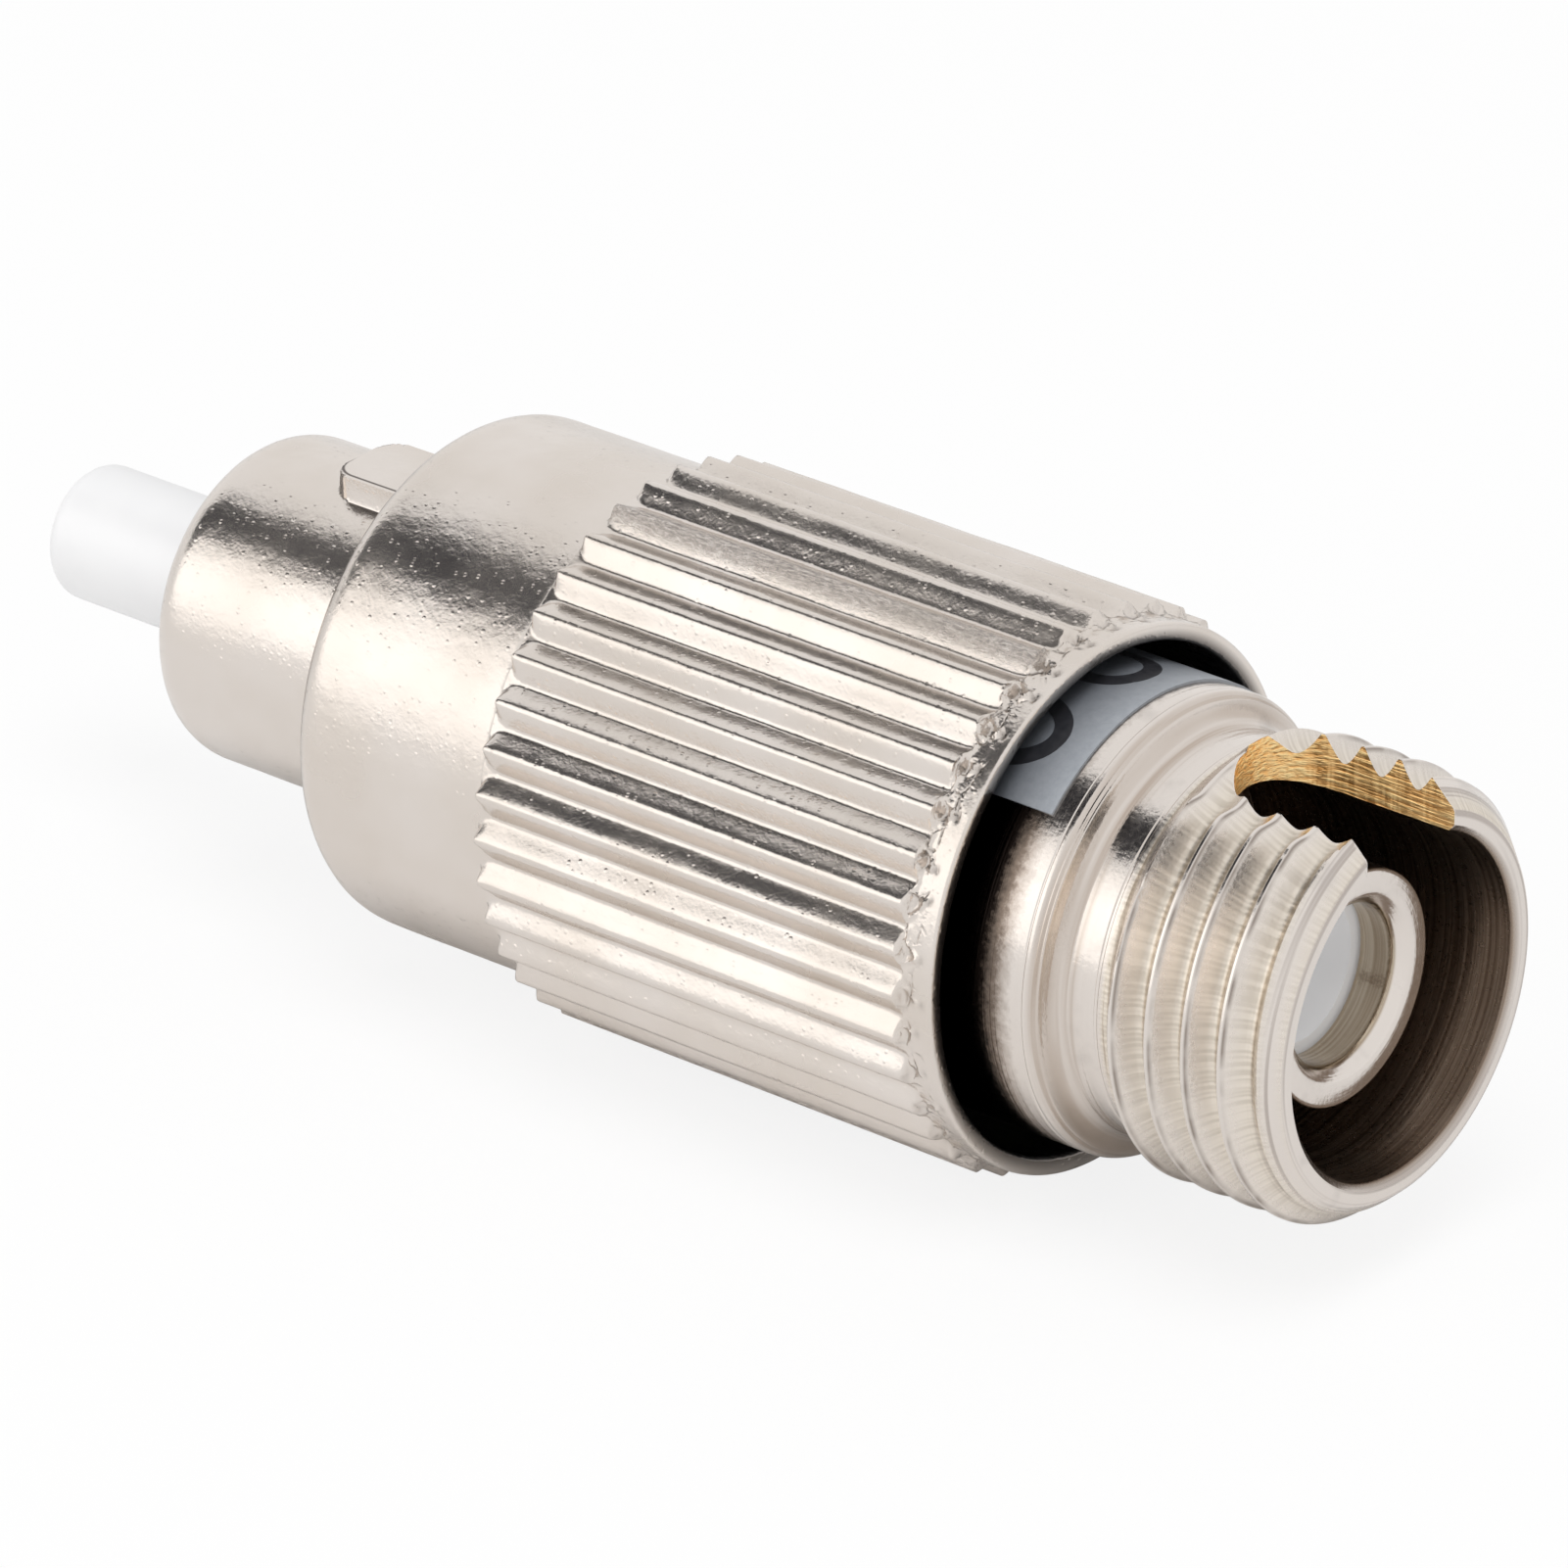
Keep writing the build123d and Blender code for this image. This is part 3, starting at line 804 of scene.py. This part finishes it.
def node(tree, kind, values=None, **settings):
    """A node with its settings, its inputs set or linked by name or number."""
    n = tree.nodes.new(kind)
    for key, value in settings.items():
        setattr(n, key, value)
    for key, value in (values or {}).items():
        feed(tree, n.inputs[key], value)
    return n


def surface(tree, **values):
    """Set or link inputs of the surface shader, with _ for the spaces in their names."""
    shader = tree.nodes["Principled BSDF"]
    for key, value in values.items():
        feed(tree, shader.inputs[key.replace("_", " ")], value)
    return shader


def maths(tree, operation, one, other=0.0):
    return node(tree, "ShaderNodeMath", {0: one, 1: other}, operation=operation).outputs[0]


def times(tree, one, other):
    return maths(tree, "MULTIPLY", one, other)


def axes(tree, kind="Object"):
    """The three parts of a kind of coordinates; the object's own are in metres."""
    place = node(tree, "ShaderNodeTexCoord").outputs[kind]
    return node(tree, "ShaderNodeSeparateXYZ", {0: place}).outputs


def coordinates(tree, scale):
    """The object's own coordinates in millimetres, stretched by a scale for each axis."""
    place = node(tree, "ShaderNodeTexCoord").outputs["Object"]
    factor = tuple(s / MM for s in scale)
    return node(tree, "ShaderNodeMapping", {"Vector": place, "Scale": factor}).outputs[0]


def noise_at(tree, vector, detail, roughness=0.5):
    values = {"Vector": vector, "Scale": 1.0, "Detail": detail, "Roughness": roughness}
    return node(tree, "ShaderNodeTexNoise", values).outputs["Fac"]


def grain(tree, scale, detail=2, roughness=0.5):
    """Noise from 0 to 1, with so many features a millimetre along each axis."""
    return noise_at(tree, coordinates(tree, scale), detail, roughness)


def ranged(tree, value, low, high, to_low, to_high):
    """The value's range from low to high, brought to another range and clamped to it."""
    values = {0: value, 1: low, 2: high, 3: to_low, 4: to_high}
    return node(tree, "ShaderNodeMapRange", values, clamp=True).outputs[0]


def by_place(tree, x, start, end, at_start, at_end):
    """A value that changes between two places along the axis."""
    return ranged(tree, x, -start * MM, -end * MM, at_start, at_end)


def mixed(tree, share, one, other):
    """One colour, with a share of the other."""
    return node(tree, "ShaderNodeMix", {0: share, 6: one, 7: other}, data_type="RGBA").outputs[2]


def toned(tree, value, low, high, one, other):
    """One colour where the value is low and the other where it is high."""
    return mixed(tree, ranged(tree, value, low, high, 0, 1), one, other)


def attribute(tree, name):
    return node(tree, "ShaderNodeAttribute", attribute_name=name).outputs["Fac"]


def bump(tree, height, distance, normal=None):
    """A bump of so many millimetres, on top of the bumps in normal."""
    values = {"Height": height, "Distance": distance * MM, "Strength": 1.0}
    if normal:
        values["Normal"] = normal
    return node(tree, "ShaderNodeBump", values).outputs[0]


def dots(tree, count, size, share):
    """Round dots, so many to a millimetre; the share leaves most cells empty."""
    values = {"Vector": coordinates(tree, (count, count, count)), "Scale": 1.0}
    cells = node(tree, "ShaderNodeTexVoronoi", values)
    pick = node(tree, "ShaderNodeSeparateColor", {0: cells.outputs["Color"]}).outputs[0]
    dot = ranged(tree, cells.outputs["Distance"], size, size * 0.4, 0, 1)
    return times(tree, dot, ranged(tree, pick, share, share + 0.02, 0, 1))


def ring_grain(tree, scale, around, detail, roughness=0.5, lean=0.6):
    """Noise in fine rings round the axis, on sides, cones and end faces alike.

    The lean is how far the rings shift along the axis with the radius.
    """
    x, y, z = axes(tree)
    flat = node(tree, "ShaderNodeCombineXYZ", {1: y, 2: z}).outputs[0]
    radius = node(tree, "ShaderNodeVectorMath", {0: flat}, operation="LENGTH").outputs["Value"]
    along = maths(tree, "ADD", x, times(tree, radius, lean))
    values = {0: times(tree, along, scale / MM)}
    values[1] = times(tree, y, around / MM)
    values[2] = times(tree, z, around / MM)
    vector = node(tree, "ShaderNodeCombineXYZ", values).outputs[0]
    return noise_at(tree, vector, detail, roughness)


def chatter_lines(tree, count):
    """Noise in lines along the axis, so many to a millimetre of the thread's circumference."""
    x, y, z = axes(tree)
    # The angle's jump lies in the keyway
    angle = maths(tree, "ARCTAN2", y, times(tree, z, -1.0))
    values = {0: times(tree, angle, count * THREAD_MIDDLE_R), 1: times(tree, x, 0.5 / MM)}
    return noise_at(tree, node(tree, "ShaderNodeCombineXYZ", values).outputs[0], 0)


def key_edge_shade(tree):
    """A dark line of painted shade along the upper edge of the locating key."""
    x, y, z = axes(tree)
    front = maths(tree, "SUBTRACT", times(tree, x, -1.0), (KEY_FRONT - KEY_CORNER) * MM)
    side = maths(tree, "SUBTRACT", maths(tree, "ABSOLUTE", y), (KEY_HALF - KEY_CORNER) * MM)
    front, side = (maths(tree, "POWER", maths(tree, "MAXIMUM", value), 2.0) for value in (front, side))
    away = maths(tree, "SQRT", maths(tree, "ADD", front, side))
    off = maths(tree, "ABSOLUTE", maths(tree, "SUBTRACT", away, (KEY_CORNER - KEY_FLANK) * MM))
    line = ranged(tree, off, 0.012 * MM, 0.04 * MM, 0.9, 0)
    line = times(tree, line, ranged(tree, z, 3.1 * MM, 3.25 * MM, 0, 1))
    line = times(tree, line, ranged(tree, y, -0.45 * MM, -0.1 * MM, 1, 0))
    return times(tree, line, by_place(tree, x, 20.6, 20.5, 1, 0))


# Materials
NICKEL = (0.72, 0.665, 0.62, 1)
NICKEL_CLOUD = (0.68, 0.62, 0.565, 1)
NICKEL_ROUGH = (0.30, 0.26, 0.235, 1)
NICKEL_SMUDGE = (0.5, 0.46, 0.43, 1)
NICKEL_INSIDE_SHADE = (0.2, 0.18, 0.165, 1)
VALLEY_PALE = (0.78, 0.71, 0.62, 1)
VALLEY_DULL = (0.64, 0.575, 0.49, 1)
GROOVE_SHADE = (0.33, 0.28, 0.25, 1)
CREST_SHADE_BROWN = (0.14, 0.10, 0.075, 1)
SHADE_BROWN = (0.20, 0.14, 0.10, 1)
CONE_BROWN = (0.36, 0.27, 0.20, 1)
BORE_DARK = (0.16, 0.115, 0.085, 1)
BORE_PALE = (0.33, 0.265, 0.215, 1)
LIP_DARK = (0.36, 0.285, 0.205, 1)
LIP_PALE = (0.53, 0.45, 0.35, 1)
DIRT_AND_SHADE = (0.035, 0.02, 0.013, 1)
SHADE_BLACK = (0.012, 0.009, 0.008, 1)
BRASS_DARK = (0.97, 0.58, 0.23, 1)
BRASS_PALE = (1.0, 0.8, 0.43, 1)
PAPER_SHADED_DARK = (0.30, 0.32, 0.35, 1)
PAPER_SHADED_PALE = (0.365, 0.385, 0.415, 1)
PAPER_SHADOW = (0.03, 0.035, 0.045, 1)
WHITE = (1, 1, 1, 1)


def cast_nickel():
    """Plated casting: orange peel, fine pits, and dirt and cracks in the torn places, with painted shade
    along the nut's front edge, along the key's upper edge and inside the nut.
    """
    mat, tree = material("cast_nickel")
    rough = attribute(tree, "rough")
    torn = attribute(tree, "torn")
    peel = grain(tree, (4, 4, 4))
    fine = grain(tree, (18, 18, 18))
    scars = grain(tree, (6, 22, 22), 4, 0.7)
    cloud = grain(tree, (0.5, 0.5, 0.5), 3)
    cells = {"Vector": coordinates(tree, (2.6, 1.7, 1.7)), "Scale": 1.0}
    gap = node(tree, "ShaderNodeTexVoronoi", cells, feature="DISTANCE_TO_EDGE").outputs["Distance"]
    crack = times(tree, ranged(tree, gap, 0.01, 0.07, 1, 0), torn)
    crack = times(tree, crack, ranged(tree, peel, 0.45, 0.6, 0, 1))

    normal = bump(tree, peel, 0.011)
    normal = bump(tree, fine, 0.0034, normal)
    normal = bump(tree, times(tree, scars, rough), 0.06, normal)
    normal = bump(tree, dots(tree, 6.5, 0.3, 0.5), 0.0045, normal)
    normal = bump(tree, dots(tree, 1.7, 0.09, 0.8), -0.01, normal)
    normal = bump(tree, crack, -0.03, normal)
    normal = bump(tree, times(tree, grain(tree, (6, 6, 6)), torn), 0.022, normal)

    colour = toned(tree, cloud, 0.35, 0.65, NICKEL, NICKEL_CLOUD)
    scarred = times(tree, rough, ranged(tree, scars, 0.4, 0.6, 0.7, 0))
    colour = mixed(tree, scarred, colour, NICKEL_ROUGH)
    # Dirt in the torn hollows and pits, and painted shade along the nut's front edge
    dirt_and_shade = times(tree, attribute(tree, "dark_marks"), ranged(tree, fine, 0.35, 0.65, 1, 0.6))
    colour = mixed(tree, dirt_and_shade, colour, DIRT_AND_SHADE)
    colour = mixed(tree, times(tree, crack, 0.6), colour, DIRT_AND_SHADE)
    # Painted shade: a dark line along the key's upper edge
    colour = mixed(tree, key_edge_shade(tree), colour, DIRT_AND_SHADE)
    # Painted shade: the nut's inside darker than its plating
    colour = mixed(tree, attribute(tree, "inside"), colour, NICKEL_INSIDE_SHADE)
    roughness = ranged(tree, cloud, 0.3, 0.7, 0.22, 0.29)
    surface(tree, Base_Color=colour, Roughness=roughness, Normal=normal, Metallic=1)
    return mat


def barrel_shade(tree, colour):
    """Painted shade on the barrel under the skirt, standing for the dark reflection of the skirt's inside:
    brown and then black, both paler further in.
    """
    barrel = attribute(tree, "barrel")
    mottle = grain(tree, (7, 7, 7), 4, 0.7)
    ragged = maths(tree, "ADD", axes(tree)[0], ranged(tree, mottle, 0.25, 0.75, -0.1 * MM, 0.1 * MM))
    brown_shade = times(tree, by_place(tree, ragged, 5.1, 5.5, 0, 0.85), barrel)
    brown_shade = times(tree, brown_shade, by_place(tree, ragged, 7.8, 9.4, 1, 0.2))
    black_shade = times(tree, by_place(tree, ragged, 5.35, 5.75, 0, 1), barrel)
    black_shade = times(tree, black_shade, by_place(tree, ragged, 7.4, 8.8, 1, 0.3))
    return mixed(tree, black_shade, mixed(tree, brown_shade, colour, SHADE_BROWN), SHADE_BLACK)


def turned_nickel():
    """Plated turned brass: fine rings from the tool, faint smudges, and painted shade beside the thread's
    crests, in the mouth's grooves and on the barrel under the skirt.
    """
    mat, tree = material("turned_nickel")
    valley = attribute(tree, "valley")
    bore = attribute(tree, "bore")
    mouth = attribute(tree, "mouth")
    smooth = maths(tree, "SUBTRACT", 1.0, attribute(tree, "thread"))
    rings = ring_grain(tree, 15, 0.2, 2, 0.6)
    wide = ring_grain(tree, 7, 0.15, 1)
    fine = grain(tree, (12, 12, 12))
    chatter = chatter_lines(tree, 14)
    grooves = ring_grain(tree, 11, 0.12, 1, lean=-0.6)

    normal = bump(tree, times(tree, rings, smooth), 0.005)
    normal = bump(tree, times(tree, wide, smooth), 0.006, normal)
    normal = bump(tree, fine, 0.003, normal)
    normal = bump(tree, times(tree, chatter, valley), 0.008, normal)
    normal = bump(tree, times(tree, grooves, mouth), 0.022, normal)

    colour = mixed(tree, valley, NICKEL, toned(tree, chatter, 0.35, 0.65, VALLEY_PALE, VALLEY_DULL))
    grooved = times(tree, ranged(tree, grooves, 0.48, 0.64, 0, 0.6), mouth)
    colour = mixed(tree, grooved, colour, GROOVE_SHADE)
    smudge = ranged(tree, grain(tree, (1.3, 1.3, 1.3), 3), 0.62, 0.75, 0, 0.35)
    colour = mixed(tree, smudge, colour, NICKEL_SMUDGE)
    # Painted shade: a thin brown line beside each crest, in patches
    patches = ranged(tree, grain(tree, (1.1, 1.1, 1.1)), 0.38, 0.6, 0.1, 0.75)
    colour = mixed(tree, times(tree, attribute(tree, "crest_shade"), patches), colour, CREST_SHADE_BROWN)
    # Painted shade on the barrel under the skirt
    colour = barrel_shade(tree, colour)
    cone = times(tree, ranged(tree, rings, 0.3, 0.6, 0.65, 0.15), attribute(tree, "cone"))
    colour = mixed(tree, cone, colour, CONE_BROWN)
    colour = mixed(tree, bore, colour, toned(tree, rings, 0.35, 0.65, BORE_DARK, BORE_PALE))
    lip = toned(tree, rings, 0.4, 0.6, LIP_DARK, LIP_PALE)
    colour = mixed(tree, attribute(tree, "lip"), colour, lip)
    crumbs = ranged(tree, grain(tree, (5, 5, 5), 3, 0.7), 0.5, 0.56, 0, 0.9)
    colour = mixed(tree, times(tree, crumbs, attribute(tree, "dark_marks")), colour, DIRT_AND_SHADE)

    roughness = ranged(tree, fine, 0.3, 0.7, 0.14, 0.22)
    roughness = maths(tree, "ADD", roughness, times(tree, valley, 0.24))
    roughness = maths(tree, "ADD", roughness, times(tree, bore, 0.12))
    surface(tree, Base_Color=colour, Roughness=roughness, Normal=normal, Metallic=1)
    return mat


def bare_brass():
    """Milled brass without plating, with marks along the cut and a few upright steps."""
    mat, tree = material("milled_brass")
    marks = grain(tree, (0.9, 6, 17), 2, 0.6)
    colour = toned(tree, marks, 0.35, 0.65, BRASS_DARK, BRASS_PALE)
    normal = bump(tree, marks, 0.05)
    normal = bump(tree, grain(tree, (3.6, 1, 0.5)), 0.1, normal)
    roughness = ranged(tree, marks, 0.3, 0.7, 0.34, 0.5)
    surface(tree, Base_Color=colour, Roughness=roughness, Normal=normal, Metallic=1)
    return mat


def zirconia(name, glow):
    """Ground ceramic; the glow stands for the light that passes through it."""
    mat, tree = material(name)
    cloud = grain(tree, (0.8, 0.8, 0.8), 3)
    colour = mixed(tree, cloud, (0.78, 0.78, 0.79, 1), (0.83, 0.83, 0.835, 1))
    roughness = ranged(tree, cloud, 0.3, 0.7, 0.3, 0.42)
    normal = bump(tree, grain(tree, (9, 2, 2)), 0.002)
    surface(tree, Base_Color=colour, Roughness=roughness, Normal=normal)
    surface(tree, Emission_Color=WHITE, Emission_Strength=glow)
    return mat


def label_paper():
    """Pale paper greyed by painted shade, with a darker painted shadow under the skirt."""
    mat, tree = material("label_paper")
    fibre = grain(tree, (7, 7, 7), 4, 0.7)
    x = axes(tree)[0]
    # Painted shadow of the skirt on the label
    shadowed = times(tree, by_place(tree, x, 5.2, 6.6, 0, 0.9), by_place(tree, x, 7.4, 8.6, 1, 0.3))
    colour = mixed(tree, shadowed, toned(tree, fibre, 0.3, 0.7, PAPER_SHADED_DARK, PAPER_SHADED_PALE), PAPER_SHADOW)
    roughness = ranged(tree, fibre, 0.3, 0.7, 0.45, 0.6)
    surface(tree, Base_Color=colour, Roughness=roughness, Normal=bump(tree, fibre, 0.006))
    return mat


def label_ink():
    mat, tree = material("label_ink")
    fibre = grain(tree, (9, 9, 9), 3)
    colour = mixed(tree, fibre, (0.012, 0.013, 0.016, 1), (0.03, 0.03, 0.035, 1))
    surface(tree, Base_Color=colour, Roughness=ranged(tree, fibre, 0.3, 0.7, 0.35, 0.5))
    return mat


def drawn_steel():
    mat, tree = material("drawn_steel")
    grains = grain(tree, (9, 9, 9), 3)
    colour = mixed(tree, grains, (0.46, 0.46, 0.47, 1), (0.6, 0.6, 0.61, 1))
    roughness = ranged(tree, grains, 0.3, 0.7, 0.25, 0.4)
    surface(tree, Base_Color=colour, Roughness=roughness, Normal=bump(tree, grains, 0.004), Metallic=1)
    return mat


def silica():
    mat, tree = material("silica")
    streak = grain(tree, (2, 9, 9))
    colour = mixed(tree, streak, (0.9, 0.95, 1, 1), (0.97, 0.98, 1, 1))
    roughness = ranged(tree, streak, 0.3, 0.7, 0.02, 0.08)
    surface(tree, Base_Color=colour, Roughness=roughness, Transmission_Weight=0.9)
    return mat


def dress(obj, mat):
    """Give the object this material alone."""
    obj.data.materials.clear()
    obj.data.materials.append(mat)


# Camera, floor and lights
CAMERA_LENS = 279.163
CAMERA_AZIMUTH = 39.06
CAMERA_ELEVATION = 26.78
CAMERA_PLACE = Vector((0.10389603, -0.14434786, 0.09377352))
# Direction of the panels along the axis and across it: the camera's, mirrored by a cylinder
PANEL_ALONG = -0.5625
PANEL_ACROSS = 0.8268
SQUARE = ((-1, -1), (1, -1), (1, 1), (-1, 1))
FLOOR_HALF = 2.0
# Brightness of the softbox at shares of its height
SOFTBOX_STOPS = ((0.0, 1.3), (0.3, 1.55), (0.6, 1.7), (0.85, 1.4), (1.0, 1.15))


def placed(place, right, back):
    """Matrix of a thing at a place in metres, with its own +X to the right and +Z to the back."""
    turn = Matrix((right, back.cross(right), back)).transposed().to_4x4()
    return Matrix.Translation(place) @ turn


def camera():
    """The camera that was fitted to the photo."""
    data = bpy.data.cameras.new("camera")
    data.sensor_width = 36
    data.lens = CAMERA_LENS
    data.clip_start = 0.01
    azimuth, elevation = math.radians(CAMERA_AZIMUTH), math.radians(CAMERA_ELEVATION)
    back = Vector((
        math.sin(azimuth) * math.cos(elevation),
        -math.cos(azimuth) * math.cos(elevation),
        math.sin(elevation),
    ))
    right = Vector((math.cos(azimuth), math.sin(azimuth), 0))
    obj = add("camera", data)
    obj.matrix_world = placed(CAMERA_PLACE, right, back)
    bpy.context.scene.camera = obj


def world():
    """Soft light, and pure white for the rays that show the studio."""
    studio = bpy.data.worlds.new("studio")
    bpy.context.scene.world = studio
    studio.use_nodes = True
    tree = studio.node_tree
    rays = node(tree, "ShaderNodeLightPath").outputs
    seen = maths(tree, "MAXIMUM", rays["Is Camera Ray"], rays["Is Glossy Ray"])
    seen = maths(tree, "MAXIMUM", seen, rays["Is Transmission Ray"])
    background = tree.nodes["Background"]
    feed(tree, background.inputs["Color"], WHITE)
    feed(tree, background.inputs["Strength"], ranged(tree, seen, 0, 1, 0.62, 1.0))


def sheet(name, corners, mat):
    """A flat piece of the studio with four corners."""
    mesh = bpy.data.meshes.new(name)
    mesh.from_pydata([tuple(c) for c in corners], [], [(0, 1, 2, 3)])
    mesh.uv_layers.new(name="UVMap")
    for loop, (u, v) in zip(mesh.uv_layers[0].data, SQUARE):
        loop.uv = ((u + 1) / 2, (v + 1) / 2)
    obj = add(name, mesh)
    dress(obj, mat)
    return obj


def floor():
    """White floor under the nut's largest radius; the camera sees it almost pure white."""
    mat, tree = material("floor_white")
    shader = surface(tree, Base_Color=(0.88, 0.88, 0.88, 1), Roughness=0.9, Specular_IOR_Level=0.1)
    glow = node(tree, "ShaderNodeEmission", {"Color": WHITE, "Strength": 1.0})
    share = times(tree, node(tree, "ShaderNodeLightPath").outputs["Is Camera Ray"], 0.85)
    blend = node(tree, "ShaderNodeMixShader", {0: share, 1: shader.outputs[0], 2: glow.outputs[0]})
    tree.links.new(blend.outputs[0], tree.nodes["Material Output"].inputs[0])
    sheet("floor", [(u * FLOOR_HALF, v * FLOOR_HALF, -RIB_TOP_R * MM) for u, v in SQUARE], mat)


def panel(name, beta, distance, half_wide, half_long, mat):
    """A studio panel that faces the object. Beta is its height round the axis, in degrees."""
    b = math.radians(beta)
    toward = Vector((PANEL_ALONG, -PANEL_ACROSS * math.cos(b), PANEL_ACROSS * math.sin(b))).normalized()
    side = toward.cross(Vector((0, math.sin(b), math.cos(b)))).normalized()
    rise = side.cross(toward).normalized()
    centre = toward * distance
    obj = sheet(name, [centre + side * half_long * u + rise * half_wide * v for u, v in SQUARE], mat)
    obj.visible_camera = False
    obj.visible_shadow = False


def flag_black():
    mat, tree = material("flag_black")
    surface(tree, Base_Color=(0.02, 0.02, 0.025, 1), Roughness=1)
    return mat


def softbox():
    """A panel's glow, a little brighter above its middle."""
    mat, tree = material("softbox")
    tree.nodes.remove(tree.nodes["Principled BSDF"])
    ramp = node(tree, "ShaderNodeValToRGB", {0: axes(tree, "UV")[1]})
    elements = ramp.color_ramp.elements
    for i, (place, level) in enumerate(SOFTBOX_STOPS):
        element = elements[i] if i < 2 else elements.new(place)
        element.position = place
        element.color = (level / 2, level / 2, level / 2, 1)
    strength = times(tree, ramp.outputs[0], 2.0)
    glow = node(tree, "ShaderNodeEmission", {"Color": (1, 0.99, 0.975, 1), "Strength": strength})
    tree.links.new(glow.outputs[0], tree.nodes["Material Output"].inputs[0])
    return mat


def area_light(name, direction, distance, size, power):
    """A round lamp that looks at the origin."""
    data = bpy.data.lights.new(name, "AREA")
    data.shape = "DISK"
    data.size = size
    data.energy = power
    back = Vector(direction).normalized()
    right = Vector((0, 0, 1)).cross(back).normalized()
    obj = add(name, data)
    obj.matrix_world = placed(back * distance, right, back)
    obj.visible_glossy = False


# The scene

nickel_cast = cast_nickel()
nickel_turned = turned_nickel()
steel = drawn_steel()
ink = label_ink()

dress(coupling_nut(), nickel_cast)
dress(plug_frame(), nickel_cast)
body = receptacle_body()
dress(body, nickel_turned)
cut_keyway(body, bare_brass())
dress(sleeve_holder(), nickel_turned)
dress(ferrule(), zirconia("white_zirconia", glow=0))
for piece in label_print():
    dress(piece, ink)
dress(nodes["label"], label_paper())
dress(nodes["split_sleeve"], zirconia("sleeve_zirconia", glow=0.12))
dress(nodes["ferrule_collar"], nickel_turned)
dress(float_spring(), steel)
for name in ("spring_washer", "snap_ring"):
    dress(nodes[name], steel)
dress(nodes["attenuating_fibre"], silica())

camera()
world()
floor()
panel("flag", beta=70, distance=0.30, half_wide=0.066, half_long=0.25, mat=flag_black())
panel("softbox", beta=21.5, distance=0.36, half_wide=0.164, half_long=0.25, mat=softbox())
area_light("top_light", direction=(0.2, -0.3, 1.0), distance=0.6, size=0.4, power=2.0)
bpy.context.scene.view_settings.view_transform = "Standard"
